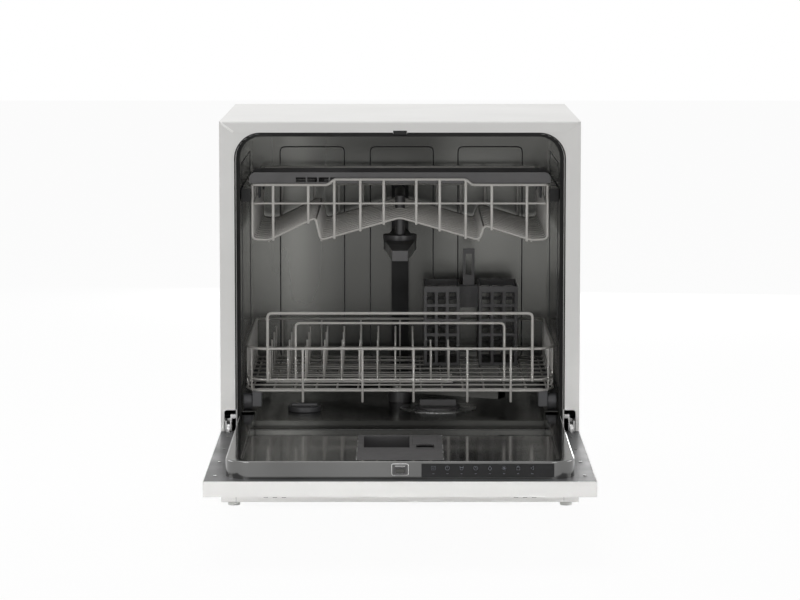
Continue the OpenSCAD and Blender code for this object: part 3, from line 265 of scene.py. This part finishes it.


# Most are named after the record's slots. bead_painted_highlight isn't one of them: it is a
# lighter copy of casing_paint, painted highlight on the mitre bead; see make_mitre_bead.
# The tones of tub_steel are painted reflection, light and dark across x; they were tuned until
# the render's levels came near the photograph's.
MATS = {
    "casing_paint": finish("casing_paint", (0.80, 0.795, 0.78), (0.77, 0.765, 0.75),
                           (0.38, 0.48), scale=5.0, grain=620.0, depth=0.00003,
                           specular=0.32),
    # A lighter copy of casing_paint: painted highlight for the mitre bead.
    "bead_painted_highlight": finish("bead_painted_highlight", (0.96, 0.955, 0.94), (0.93, 0.925, 0.91),
                         (0.34, 0.42), scale=5.0, grain=620.0, depth=0.00003,
                         specular=0.5),
    "tub_steel": finish("tub_steel", (0.295, 0.295, 0.279), (0.23, 0.23, 0.217), (0.16, 0.28),
                        metal=1.0, scale=6.0, stretch=(1.0, 1.0, 0.15), grain=260.0,
                        grain_stretch=(7.0, 7.0, 0.4), depth=0.00001, strength=0.3,
                        # across paints reflection into the tub's steel: light at the left, dark
                        # in the middle, mid at the right.
                        across=((-0.26, 0.85), (-0.18, 0.95), (-0.09, 0.34), (0.04, 0.3),
                                (0.11, 0.55), (0.26, 0.7))),
    "liner_steel": finish("liner_steel", (0.195, 0.195, 0.192), (0.135, 0.135, 0.133),
                          (0.07, 0.14), metal=1.0, scale=6.0, stretch=(1.0, 0.3, 1.0),
                          grain=260.0, grain_stretch=(7.0, 0.4, 7.0), depth=0.00001),
    "inner_panel": finish("inner_panel", (0.045, 0.045, 0.047), (0.035, 0.035, 0.036),
                          (0.38, 0.5), scale=14.0, grain=1500.0),
    "bare_steel": finish("bare_steel", (0.62, 0.62, 0.61), (0.5, 0.5, 0.5), (0.2, 0.34),
                         metal=1.0, scale=30.0, grain=700.0, strength=0.2),
    "coated_wire": finish("coated_wire", (0.50, 0.485, 0.46), (0.46, 0.445, 0.42),
                          (0.28, 0.38), scale=40.0, grain=1400.0, depth=0.00002, coat=0.2),
    "dark_plastic": finish("dark_plastic", (0.068, 0.066, 0.067), (0.056, 0.054, 0.055),
                           (0.36, 0.48), scale=25.0, grain=2200.0, depth=0.00003),
    "black_plastic": finish("black_plastic", (0.017, 0.017, 0.017), (0.012, 0.012, 0.012),
                            (0.48, 0.6), scale=25.0, grain=2000.0, depth=0.00003,
                            specular=0.22),
    "grey_plastic": finish("grey_plastic", (0.085, 0.085, 0.09), (0.07, 0.07, 0.075),
                           (0.36, 0.48), scale=25.0, grain=2200.0, depth=0.00003),
    "white_plastic": finish("white_plastic", (0.72, 0.72, 0.70), (0.68, 0.68, 0.66),
                            (0.38, 0.5), scale=20.0, grain=2000.0, depth=0.00003),
    "strip_gloss": finish("strip_gloss", (0.011, 0.011, 0.012), (0.009, 0.009, 0.009),
                          (0.08, 0.13), scale=30.0, grain=900.0, depth=0.000004,
                          specular=0.28),
    "icon_print": finish("icon_print", (0.28, 0.30, 0.35), (0.22, 0.24, 0.28), (0.3, 0.4),
                         scale=200.0, grain=3000.0, depth=0.000004),
    "board_green": finish("board_green", (0.03, 0.16, 0.08), (0.02, 0.11, 0.05),
                          (0.3, 0.45), scale=220.0, grain=1800.0),
    "seal_rubber": finish("seal_rubber", (0.013, 0.013, 0.0125), (0.009, 0.009, 0.009),
                          (0.5, 0.64), scale=30.0, grain=1300.0, depth=0.00004,
                          specular=0.22),
}

# ---------------------------------------------------------------- mesh helpers

EDGE_ANGLE = math.radians(30.0)  # edges sharper than this are softened
FACE_WEIGHT = 80
MERGE_WITHIN = 0.000004  # metres
FLAT_WITHIN = math.radians(0.4)  # faces nearer to one plane than this become one
STRAIGHT = math.radians(178.0)
CORNER_REACH = 0.45  # the most of a length that a bend may use
BEND_STEPS = 4
DOME_ANGLES = (80, 50, 25)
DOME_HEIGHT = 0.8
WIRE_SIDES = 10


def at(x, y, z):
    """A point given in mm behind the casing's front face, in the row frame."""
    return Vector((x, y + FRONT_Y, z)) * MM


def add_piece(name, mesh, body, slot, *replaced):
    obj = bpy.data.objects.new(name, mesh)
    bpy.context.scene.collection.objects.link(obj)
    mesh.materials.clear()
    mesh.materials.append(MATS[slot])
    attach(obj, body)
    if replaced:
        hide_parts(*replaced)
    return obj


def smooth_mesh(obj, width, segments=2):
    """Bevels the hard edges by width in mm and shades smooth, with flat faces kept flat."""
    for p in obj.data.polygons:
        p.use_smooth = True
    if width:
        mod = obj.modifiers.new("edge", "BEVEL")
        mod.width = width * MM
        mod.segments = segments
        mod.limit_method = "ANGLE"
        mod.angle_limit = EDGE_ANGLE
        mod.use_clamp_overlap = True
    weighted = obj.modifiers.new("normals", "WEIGHTED_NORMAL")
    weighted.keep_sharp = False
    weighted.weight = FACE_WEIGHT
    done = bpy.data.meshes.new_from_object(
        obj.evaluated_get(bpy.context.evaluated_depsgraph_get()))
    obj.modifiers.clear()
    obj.data = done


def refine(node, width, slot):
    """Stands for a CAD node with the same shape and softened edges."""
    mesh = NODES[node].data.copy()
    bm = bmesh.new()
    bm.from_mesh(mesh)
    bmesh.ops.remove_doubles(bm, verts=bm.verts, dist=MERGE_WITHIN)
    bmesh.ops.dissolve_limit(bm, angle_limit=FLAT_WITHIN, verts=bm.verts, edges=bm.edges,
                             use_dissolve_boundaries=False)
    bm.to_mesh(mesh)
    bm.free()
    smooth_mesh(add_piece(node + "_skin", mesh, BODY_OF[node], slot, node), width)


def bend(points, radius, closed):
    """The points with their corners rounded."""
    pts = [Vector(p) for p in points]
    out = []
    n = len(pts)
    for i, p in enumerate(pts):
        if not closed and i in (0, n - 1):
            out.append(p)
            continue
        a, b = pts[i - 1], pts[(i + 1) % n]
        into, away = (a - p), (b - p)
        if into.angle(away) > STRAIGHT:
            out.append(p)
            continue
        reach = min(radius, CORNER_REACH * into.length, CORNER_REACH * away.length)
        s, e = p + into.normalized() * reach, p + away.normalized() * reach
        for k in range(BEND_STEPS + 1):
            t = k / BEND_STEPS
            out.append((1 - t) ** 2 * s + 2 * t * (1 - t) * p + t * t * e)
    return out


def circle(r, n, flat=1.0):
    return [(r * math.cos(2 * math.pi * k / n), flat * r * math.sin(2 * math.pi * k / n))
            for k in range(n)]


def sweep(bm, path, section, closed=False, side=None, round_ends=True):
    """Draws a closed section along the path, with domed ends where it is open."""
    n = len(path)
    tangents = []
    for i in range(n):
        a = path[i - 1] if (i or closed) else path[0]
        b = path[(i + 1) % n] if (i < n - 1 or closed) else path[-1]
        tangents.append((b - a).normalized())
    t = tangents[0]
    if side is None:
        side = Vector((0, 0, 1)) if abs(t.z) < 0.9 else Vector((0, 1, 0))
    u = (side - t * side.dot(t)).normalized()
    rings = []
    for i in range(n):
        t = tangents[i]
        u = (u - t * u.dot(t)).normalized()
        v = t.cross(u)
        rings.append((path[i], t, u, v))
    depth = max(abs(c) for s in section for c in s)

    def ring(p, u, v, k=1.0):
        return [bm.verts.new(p + k * (a * u + b * v)) for a, b in section]

    made = []
    domes = DOME_ANGLES if round_ends and not closed else ()
    for a in domes:
        p, t, u, v = rings[0]
        r = math.radians(a)
        made.append(ring(p - t * depth * math.sin(r) * DOME_HEIGHT, u, v, math.cos(r)))
    made += [ring(p, u, v) for p, t, u, v in rings]
    for a in reversed(domes):
        p, t, u, v = rings[-1]
        r = math.radians(a)
        made.append(ring(p + t * depth * math.sin(r) * DOME_HEIGHT, u, v, math.cos(r)))
    m = len(section)
    for i in range(len(made) if closed else len(made) - 1):
        lower, upper = made[i], made[(i + 1) % len(made)]
        for k in range(m):
            bm.faces.new((lower[k], lower[(k + 1) % m], upper[(k + 1) % m], upper[k]))
    if not closed:
        bm.faces.new(list(reversed(made[0])))
        bm.faces.new(made[-1])


def rod(start, end, r, *flat):
    """A straight wire for wire_piece. With flat, its section is an ellipse."""
    return ([start, end], r, 1.0, False, *flat)


def wire_piece(name, body, slot, wires, *replaced):
    """One object of bent round wires: each is (points in mm, radius, bend radius, closed)."""
    bm = bmesh.new()
    for points, r, corner, closed, *flat in wires:
        path = bend([at(*p) for p in points], corner * MM, closed)
        sweep(bm, path, circle(r * MM, WIRE_SIDES, *flat), closed)
    bmesh.ops.recalc_face_normals(bm, faces=bm.faces)
    mesh = bpy.data.meshes.new(name)
    bm.to_mesh(mesh)
    bm.free()
    for p in mesh.polygons:
        p.use_smooth = True
    return add_piece(name, mesh, body, slot, *replaced)


def spread(a, b, n):
    return [a + (b - a) * i / (n - 1) for i in range(n)]


def finish_mesh(name, bm, body, slot, *replaced, width=0.0, segments=2):
    bmesh.ops.recalc_face_normals(bm, faces=bm.faces)
    mesh = bpy.data.meshes.new(name)
    bm.to_mesh(mesh)
    bm.free()
    smooth_mesh(add_piece(name, mesh, body, slot, *replaced), width, segments)


# ---------------------------------------------------------------- softened CAD pieces

# Bevel widths in mm
EDGES = {
    "side_panels": 0.3, "rear_panel": 0.3, "front_frame": 0.35, "base_tray": 0.8,
    "plinth": 0.3, "feet": 0.8, "tub_shell": 0.35, "door_gasket": 0.5, "air_break": 3.0,
    "sump": 1.5, "filter_plate": 0.4, "riser_duct": 2.0, "spray_post": 1.2,
    "circulation_pump": 2.0, "drain_pump": 2.0, "softener_tank": 4.0, "inlet_valve": 1.0,
    "drain_outlet": 0.8, "mains_gland": 0.8, "hinge_brackets": 0.5, "door_springs": 0.6,
    "latch_hook": 0.8, "rail_glides": 0.8, "casing_screws": 0.3, "bottom_seal": 1.2,
    "door_panel": 0.35, "door_carrier": 0.3, "control_strip": 0.25, "control_board": 0.3,
    "latch_housing": 0.4, "dispenser_body": 0.8, "hinge_arms": 0.8, "door_screws": 0.25,
    "latch_tongue": 0.5, "detergent_lid": 0.5, "rinse_flap": 0.6, "filter_cup": 1.0,
    "salt_cap": 1.0, "lower_spray_arm": 2.5, "upper_spray_arm": 3.0, "upper_rails": 0.3,
    "rail_caps": 0.6, "upper_front_rollers": 0.6, "upper_rear_rollers": 0.6,
    "lower_front_rollers": 1.2, "lower_rear_rollers": 1.2, "roller_brackets": 0.8,
    "cutlery_basket": 0.4, "upper_rack_brackets": 0.6, "utensil_tray": 0.9,
    "upper_feed_duct": 1.5,
}
# The record gives these two bare_steel. Here they take the tub's darker steel, which also
# carries its painted reflection tones; on the latch tongue the darkness is painted shade in the
# recessed latch window.
DARKER_STEEL = {"door_screws": "tub_steel", "latch_tongue": "tub_steel"}
for node, width in EDGES.items():
    refine(node, width, DARKER_STEEL.get(node, SLOT_OF[node]))

# ---------------------------------------------------------------- top cover

HALF_W, BODY_H, BODY_D, SHEET = 275.0, 595.0, 500.0, 0.8
FLANGE_W, TOP_FLANGE = 22.5, 17.0
FOLD_R, MITRE_GAP = 4.0, 0.1
NOTCH_X, NOTCH_Z = 10.5, 581.0


def make_top_cover():
    """The top sheet, folded down in front, mitred at both ends and notched for the latch."""
    fold = FOLD_R
    outer = [(0.0, BODY_H - TOP_FLANGE), (0.0, BODY_H - fold)]
    outer += [(fold - fold * math.cos(a), BODY_H - fold + fold * math.sin(a))
              for a in (math.radians(k) for k in (15, 30, 45, 60, 75))]
    outer += [(fold, BODY_H), (BODY_D, BODY_H)]
    inner = [(BODY_D, BODY_H - SHEET), (fold, BODY_H - SHEET),
             (SHEET, BODY_H - fold), (SHEET, BODY_H - TOP_FLANGE)]
    section = outer + inner
    m = len(section)
    bm = bmesh.new()

    def ring(at_z):
        return [bm.verts.new(at(at_z(z), y, z)) for y, z in section]

    def notch(x):
        return [bm.verts.new(at(x, y, NOTCH_Z)) for y in (0.0, SHEET)]

    def mitre(z):
        return HALF_W - MITRE_GAP - FLANGE_W * (BODY_H - z) / TOP_FLANGE

    left, right = ring(lambda z: -mitre(z)), ring(mitre)
    a, b = ring(lambda z: -NOTCH_X), ring(lambda z: NOTCH_X)
    an, bn = notch(-NOTCH_X), notch(NOTCH_X)
    bm.faces.new(left)
    bm.faces.new(list(reversed(right)))
    for k in range(1, m - 2):
        for p, q in ((left, a), (a, b), (b, right)):
            bm.faces.new((p[k], p[k + 1], q[k + 1], q[k]))
    for p, q, n in ((left, a, an), (right, b, bn)):
        bm.faces.new((p[0], p[1], q[1], n[0], q[0]))
        bm.faces.new((p[m - 2], p[m - 1], q[m - 1], n[1], q[m - 2]))
        bm.faces.new((p[m - 1], p[0], q[0], q[m - 1]))
        bm.faces.new((q[m - 1], q[0], n[0], n[1]))
    bm.faces.new((an[0], a[1], b[1], bn[0]))
    bm.faces.new((a[m - 2], an[1], bn[1], b[m - 2]))
    bm.faces.new((an[1], an[0], bn[0], bn[1]))
    finish_mesh("top_cover_skin", bm, "cabinet", "casing_paint", "top_cover", width=0.3)


def make_mitre_bead():
    """The raised folded edge along the left mitre of the front flange, in a lighter copy of the
    casing paint as painted highlight.
    """
    path = [(-272.2, 2.8, 592.4), (-270.8, 1.7, 591.3), (-254.4, 1.7, 579.4)]
    bead = wire_piece("mitre_beads", "cabinet", "casing_paint", [(path, 2.4, 2.0, False)])
    # The lighter paint on the bead is painted highlight.
    bead.data.materials[0] = MATS["bead_painted_highlight"]


make_top_cover()
make_mitre_bead()

# ---------------------------------------------------------------- tub lines, gasket lip

TUB_X, TUB_BACK = 245.0, 470.0
PANELS = ((-146.0, 107.0), (3.0, 105.0), (150.0, 107.0))
PANEL_Z0, PANEL_Z1 = 172.0, 525.5
SIDE_Y0, SIDE_Y1 = 88.0, 362.0
PANEL_CORNER = 9.0


def make_press_lines():
    """The lines round the pressed panels of the tub's back wall, and one on each side.

    They take the dark inner_panel finish as painted shade of the pressed steps, where the real
    ones are the tub's own steel.
    """
    back, sides = [], []
    y = TUB_BACK - 0.2
    for x, w in PANELS:
        a, b = x - w / 2, x + w / 2
        back.append(([(a, y, PANEL_Z0), (b, y, PANEL_Z0), (b, y, PANEL_Z1), (a, y, PANEL_Z1)],
                     0.95, PANEL_CORNER, True))
    for s in (-1, 1):
        x = s * (TUB_X - 0.1)
        sides.append(([(x, SIDE_Y0, PANEL_Z0), (x, SIDE_Y1, PANEL_Z0),
                       (x, SIDE_Y1, PANEL_Z1), (x, SIDE_Y0, PANEL_Z1)],
                      0.8, PANEL_CORNER, True))
    # The dark inner_panel finish on these lines is painted shade along the pressed steps.
    wire_piece("back_press_lines", "cabinet", "inner_panel", back)
    wire_piece("side_press_lines", "cabinet", "inner_panel", sides)


def make_gasket_lip():
    """The rubber lip over the inner frame's edge, open where the latch hook comes through."""
    out, top, r, foot = 251.45, 576.95, 38.9, 153.0
    y, hook_x, steps = 0.5, 10.8, 12
    half, depth = 0.95 * MM, 0.28 * MM
    section = [(-depth, -half), (depth, -half), (depth, half), (-depth, half)]
    bm = bmesh.new()
    for s in (-1, 1):
        path = [at(s * out, y, foot)]
        for k in range(steps + 1):
            a = math.pi / 2 * k / steps
            path.append(at(s * (out - r + r * math.cos(a)), y, top - r + r * math.sin(a)))
        path.append(at(s * hook_x, y, top))
        sweep(bm, path, section, side=Vector((0, 1, 0)), round_ends=False)
    finish_mesh("gasket_lip", bm, "cabinet", "seal_rubber")


make_press_lines()
make_gasket_lip()

# ---------------------------------------------------------------- door liner

LINER_X, LINER_Y0, LINER_Y1, LINER_R = 246.0, -444.0, -1.0, 36.0
RIM_X, RIM_Y0, RIM_R = 223.0, -430.0, 22.0
STEP_Y = -186.0  # where the shallow front part drops to the low floor
TOP_Z, RECESS_Z, LOW_Z, DOOR_Z = 145.0, 141.0, 120.8, 120.0
DISP_X, DISP_Y0, DISP_Y1 = 61.5, -429.0, -189.0
CORNER_STEPS = 10
WINDOW_X, WINDOW_Z0, WINDOW_Z1 = 11.6, 125.6, 141.6
BAR_X, BAR_Z = 6.6, 138.6


def corner_path(x, y0, r):
    """From the rear left along the left side, round both front corners, to the rear right."""
    pts = [(-x, LINER_Y1), (-x, STEP_Y)]
    for k in range(CORNER_STEPS + 1):
        a = math.pi + math.pi / 2 * k / CORNER_STEPS
        pts.append((-x + r + r * math.cos(a), y0 + r + r * math.sin(a)))
    right = [(-px, py) for px, py in reversed(pts)]
    return pts + right


def make_liner():
    """The raised liner: a rim on three sides, a shallow front part and a low floor."""
    outer = corner_path(LINER_X, LINER_Y0, LINER_R)
    inner = corner_path(RIM_X, RIM_Y0, RIM_R)
    bm = bmesh.new()

    def row(points, z):
        return [bm.verts.new(at(x, y, z)) for x, y in points]

    bottom, top, edge = row(outer, DOOR_Z), row(outer, TOP_Z), row(inner, TOP_Z)
    n = len(outer)
    for i in range(n - 1):
        bm.faces.new((bottom[i], bottom[i + 1], top[i + 1], top[i]))
        bm.faces.new((top[i], top[i + 1], edge[i + 1], edge[i]))
    shallow = [bm.verts.new(at(x, y, RECESS_Z)) for x, y in inner[1:-1]]
    low_l = [bm.verts.new(at(-RIM_X, y, LOW_Z)) for y in (LINER_Y1, STEP_Y)]
    low_r = [bm.verts.new(at(RIM_X, y, LOW_Z)) for y in (STEP_Y, LINER_Y1)]
    for i in range(1, n - 2):
        bm.faces.new((edge[i], edge[i + 1], shallow[i], shallow[i - 1]))
    bm.faces.new((edge[0], edge[1], shallow[0], low_l[1], low_l[0]))
    bm.faces.new((edge[-2], edge[-1], low_r[1], low_r[0], shallow[-1]))
    step = {}
    for s in (-1, 1):
        for tag, y in (("a", STEP_Y), ("b", DISP_Y1), ("c", DISP_Y0), ("d", RIM_Y0)):
            step[s, tag] = bm.verts.new(at(s * DISP_X, y, RECESS_Z))
    half = len(shallow) // 2
    left = shallow[:half] + [step[-1, t] for t in ("d", "c", "b", "a")]
    right = [step[1, t] for t in ("a", "b", "c", "d")] + shallow[half:]
    bm.faces.new(left)
    bm.faces.new(right)
    for a, b in (("a", "b"), ("c", "d")):
        bm.faces.new((step[-1, a], step[-1, b], step[1, b], step[1, a]))
    mid_low = [bm.verts.new(at(s * DISP_X, STEP_Y, LOW_Z)) for s in (-1, 1)]
    bm.faces.new((shallow[0], step[-1, "a"], mid_low[0], low_l[1]))
    bm.faces.new((step[-1, "a"], step[1, "a"], mid_low[1], mid_low[0]))
    bm.faces.new((step[1, "a"], shallow[-1], low_r[0], mid_low[1]))
    bm.faces.new((low_l[0], low_l[1], mid_low[0], mid_low[1], low_r[0], low_r[1]))
    for s, ring_o, ring_i, low in ((-1, 0, 0, low_l[0]), (1, -1, -1, low_r[1])):
        base = bm.verts.new(at(s * RIM_X, LINER_Y1, DOOR_Z))
        bm.faces.new((bottom[ring_o], top[ring_o], edge[ring_i], low, base))
    finish_mesh("door_liner_skin", bm, "door", "liner_steel", "door_liner",
                width=1.7, segments=3)


def make_liner_highlight_trims():
    """The pressed bead round the latch window, and the edges along the dispenser, in the
    lighter bare_steel as painted highlights on what is the liner's own steel.
    """
    y = LINER_Y0 - 0.5
    ring = [(-WINDOW_X, y, WINDOW_Z0), (WINDOW_X, y, WINDOW_Z0),
            (WINDOW_X, y, WINDOW_Z1), (-WINDOW_X, y, WINDOW_Z1)]
    bar = rod((-BAR_X, y - 0.1, BAR_Z), (BAR_X, y - 0.1, BAR_Z), 0.7)
    # Lighter bare_steel on the ring: painted highlight of the pressed bead.
    wire_piece("latch_window_highlight_trim", "door", "bare_steel", [(ring, 0.65, 2.5, True), bar])
    z = RECESS_Z + 1.9
    edges = [rod((s * DISP_X, DISP_Y0 + 4, z), (s * DISP_X, DISP_Y1 - 4, z), 0.7)
             for s in (-1, 1)]
    # Lighter bare_steel on these edges: painted highlights.
    wire_piece("dispenser_edge_highlight_trim", "door", "bare_steel", edges)


make_liner()
make_liner_highlight_trims()

# ---------------------------------------------------------------- lower rack

LOW_Y0, LOW_Y1, LOW_X = 36.0, 432.0, 240.0
LOW_TOP, TINE_Z0, TINE_Z1 = 242.0, 180.4, 236.0
TINE_X0, TINE_STEP = -203.5, 28
TINE_ROWS = ((110.0, 11), (190.0, 11), (290.0, 9), (370.0, 9))  # (y, number of tines)
FRONT_POSTS = (-150.0, -58.0, 21.0, 104.0, 171.0)
LOOPS = ((204.0, LOW_Y0 - 1.9, 297.5, 2.3), (161.0, LOW_Y0 + 5.6, 281.5, 1.9))


def ring_at(z, inset=2.0):
    """The lower rack's outline, with cut front corners."""
    x, front = LOW_X - inset, LOW_X - 21.0
    y0, y1 = LOW_Y0 + inset, LOW_Y1 - inset
    return [(-front, y0, z), (front, y0, z), (x, y0 + 33, z), (x, y1, z), (-x, y1, z),
            (-x, y0 + 33, z)]


def make_lower_rack():
    bars_y = spread(LOW_Y0 + 8, LOW_Y1 - 8, 9)
    bars_x = spread(-LOW_X + 12, LOW_X - 12, 15)
    side = LOW_X - 2.2
    floor = [(ring_at(177.0, 2.4), 2.0, 10.0, True)]
    for y in bars_y:
        reach = side if y > 80 else LOW_X - 20
        floor.append(rod((-reach, y, 178.4), (reach, y, 178.4), 1.5))
    for x in bars_x:
        y0 = LOW_Y0 + 3 if abs(x) < LOW_X - 21 else LOW_Y0 + 14
        floor.append(rod((x, y0, 176.2), (x, LOW_Y1 - 3, 176.2), 1.5))
    for y, n in TINE_ROWS:
        last = TINE_X0 + TINE_STEP * (n - 1)
        floor.append(rod((TINE_X0 - 5, y + 1.5, TINE_Z0), (last + 5, y + 1.5, TINE_Z0), 1.6))
    wire_piece("lower_rack_floor_wires", "lower_rack", "coated_wire", floor,
               "lower_rack_floor")
    tines = []
    for y, n in TINE_ROWS:
        for i in range(n):
            x = TINE_X0 + TINE_STEP * i
            tines.append(rod((x, y + 1.5, TINE_Z0), (x, y + 1.5, TINE_Z1), 1.5))
    wire_piece("lower_rack_tine_wires", "lower_rack", "coated_wire", tines,
               "lower_rack_tines")
    walls = [(ring_at(LOW_TOP), 2.1, 11.0, True), (ring_at(194.0, 2.6), 1.7, 11.0, True)]
    for x in FRONT_POSTS:
        walls.append(rod((x, LOW_Y0 + 1.2, 160.0), (x, LOW_Y0 + 1.2, LOW_TOP + 1), 1.9))
    for y in bars_y[1:]:
        for s in (-1, 1):
            walls.append(([(s * (side - 14), y, 178.2), (s * side, y, 178.2),
                           (s * side, y, LOW_TOP)], 1.5, 7.0, False))
    for x in bars_x[1::2]:
        walls.append(([(x, LOW_Y1 - 16, 176.4), (x, LOW_Y1 - 2.2, 176.4),
                       (x, LOW_Y1 - 2.2, LOW_TOP)], 1.5, 7.0, False))
    for s in (-1, 1):
        x, y = s * (LOW_X - 10.4), LOW_Y0 + 19
        walls.append(rod((x, y, 177.5), (x, y, LOW_TOP + 1), 1.6))
    wire_piece("lower_rack_wall_wires", "lower_rack", "coated_wire", walls,
               "lower_rack_walls")
    loops = [([(-x, y, 193.0), (-x, y, top), (x, y, top), (x, y, 193.0)], r, 7.0, False)
             for x, y, top, r in LOOPS]
    wire_piece("lower_rack_loop_wires", "lower_rack", "coated_wire", loops,
               "lower_rack_handles")


make_lower_rack()

# ---------------------------------------------------------------- upper rack

UP_Y0, UP_Y1, UP_X = 42.0, 428.0, 229.0
UP_RIM, UP_MID, FLOOR_Z = 495.0, 466.5, 410.0
PROFILE = [(-229, 410), (-202, 410), (-130, 445), (-122, 410), (0, 445), (122, 410),
           (130, 433), (202, 410), (229, 410)]  # (x, z) across the sloped floor
LONG_WIRES = ((-202, 410), (-129, 443.5), (-121, 411), (121, 411), (129, 431.5), (202, 410))
END_POSTS = (195.0, 141.0, 101.0, 61.0, 25.0)


def floor_z(x):
    for (x0, z0), (x1, z1) in zip(PROFILE, PROFILE[1:]):
        if x0 <= x <= x1:
            return z0 + (z1 - z0) * (x - x0) / (x1 - x0)
    return FLOOR_Z


def make_upper_rack():
    x = UP_X - 2.1
    profile = [(-x, 411.5)] + PROFILE[1:-1] + [(x, 411.5)]
    floor = []
    for i, y in enumerate(spread(UP_Y0 + 11.5, UP_Y1 - 13, 12)):
        top = 494.0 if i % 2 else 467.0
        path = [(-x, y, top)] + [(a, y, b) for a, b in profile] + [(x, y, top)]
        floor.append((path, 1.35, 6.0, False))
    for a, b in LONG_WIRES:
        floor.append(rod((a, UP_Y0 + 3, b - 1.8), (a, UP_Y1 - 3, b - 1.8), 1.5))
    wire_piece("upper_rack_floor_wires", "upper_rack", "coated_wire", floor,
               "upper_rack_floor")
    y0, y1 = UP_Y0 + 2.1, UP_Y1 - 2.1
    raised = [(-x, UP_RIM), (-110, UP_RIM), (-102, 503.4), (102, 503.4), (110, UP_RIM),
              (x, UP_RIM)]
    rim = [(a, y0, b) for a, b in raised] + [(x, y1, UP_RIM), (-x, y1, UP_RIM)]
    mid = [(-x, y0, UP_MID), (x, y0, UP_MID), (x, y1, UP_MID), (-x, y1, UP_MID)]
    walls = [(rim, 2.2, 7.0, True), (mid, 1.7, 8.0, True)]
    for y in (y0, y1):
        path = [(-x, y, 493.0)] + [(a, y, b) for a, b in profile] + [(x, y, 493.0)]
        walls.append((path, 2.0, 7.0, False))
    for s in (-1, 1):
        for k in END_POSTS:
            low = floor_z(s * k) - 3.0
            for y, high in ((y0 - 0.8, 502.5 if k < 103 else 494.5), (y1 + 0.8, 494.5)):
                walls.append(rod((s * k, y, low), (s * k, y, high), 1.3, 1.7))
    wire_piece("upper_rack_wall_wires", "upper_rack", "coated_wire", walls,
               "upper_rack_walls")


make_upper_rack()

# ---------------------------------------------------------------- control icons

ICON_COUNT, ICON_X0, ICON_STEP = 8, 46.6, 19.8
BLUE_ICONS = (0, 1, 7)
STROKE_R, STROKE_SIDES, STROKE_FLAT = 0.4, 6, 0.5
TICK_X, TICK_DROP = 1.2, 8.0


def make_icons():
    """Eight plain line symbols on the control strip, with a small tick under each."""
    face_y, z = LINER_Y0 - 1.0, TOP_Z - 9.0
    blue, grey = bmesh.new(), bmesh.new()

    def stroke(bm, points, closed=False):
        path = [at(x, face_y - 0.1, q) for x, q in points]
        section = circle(STROKE_R * MM, STROKE_SIDES, STROKE_FLAT)
        sweep(bm, path, section, closed, side=Vector((0, 1, 0)))

    def arc(cx, cz, r, a0, a1, n=14):
        return [(cx + r * math.cos(math.radians(a0 + (a1 - a0) * k / n)),
                 cz + r * math.sin(math.radians(a0 + (a1 - a0) * k / n))) for k in range(n + 1)]

    for i in range(ICON_COUNT):
        x = ICON_X0 + ICON_STEP * i
        bm = blue if i in BLUE_ICONS else grey
        if i == 0:
            stroke(bm, [(x - 2.8, z - 2.6), (x - 2.8, z + 2.6), (x + 2.8, z + 2.6),
                        (x + 2.8, z - 2.6)], closed=True)
            stroke(bm, [(x - 1.4, z), (x + 1.4, z)])
        elif i == 1:
            stroke(bm, arc(x, z, 2.9, 120, 420))
            stroke(bm, [(x, z + 0.6), (x, z + 3.2)])
        elif i == 2:
            stroke(bm, [(x - 2.4, z + 2.6), (x - 1.6, z - 2.6), (x + 1.6, z - 2.6),
                        (x + 2.4, z + 2.6)])
            stroke(bm, [(x - 2.0, z + 0.8), (x + 2.0, z + 0.8)])
        elif i == 3:
            stroke(bm, arc(x, z, 2.8, 0, 342), closed=True)
            stroke(bm, [(x, z), (x, z + 1.8)])
            stroke(bm, [(x, z), (x + 1.3, z)])
        elif i == 4:
            stroke(bm, [(x, z + 3.1)] + arc(x, z - 0.8, 2.1, 35, -215), closed=True)
        elif i == 5:
            for k in range(3):
                a = math.radians(60 * k)
                stroke(bm, [(x - 2.9 * math.cos(a), z - 2.9 * math.sin(a)),
                            (x + 2.9 * math.cos(a), z + 2.9 * math.sin(a))])
        elif i == 6:
            stroke(bm, arc(x, z + 1.4, 1.5, 0, 180))
            stroke(bm, [(x - 2.2, z + 1.2), (x + 2.2, z + 1.2), (x + 2.2, z - 2.6),
                        (x - 2.2, z - 2.6)], closed=True)
        else:
            stroke(bm, [(x + 1.6, z + 2.8), (x - 2.0, z), (x + 1.6, z - 2.8)], closed=True)
        stroke(grey, [(x - TICK_X, z - TICK_DROP), (x + TICK_X, z - TICK_DROP)])
    finish_mesh("touch_icon_lines", blue, "door", "icon_print", "touch_icons")
    finish_mesh("touch_icon_marks", grey, "door", "icon_print")


make_icons()
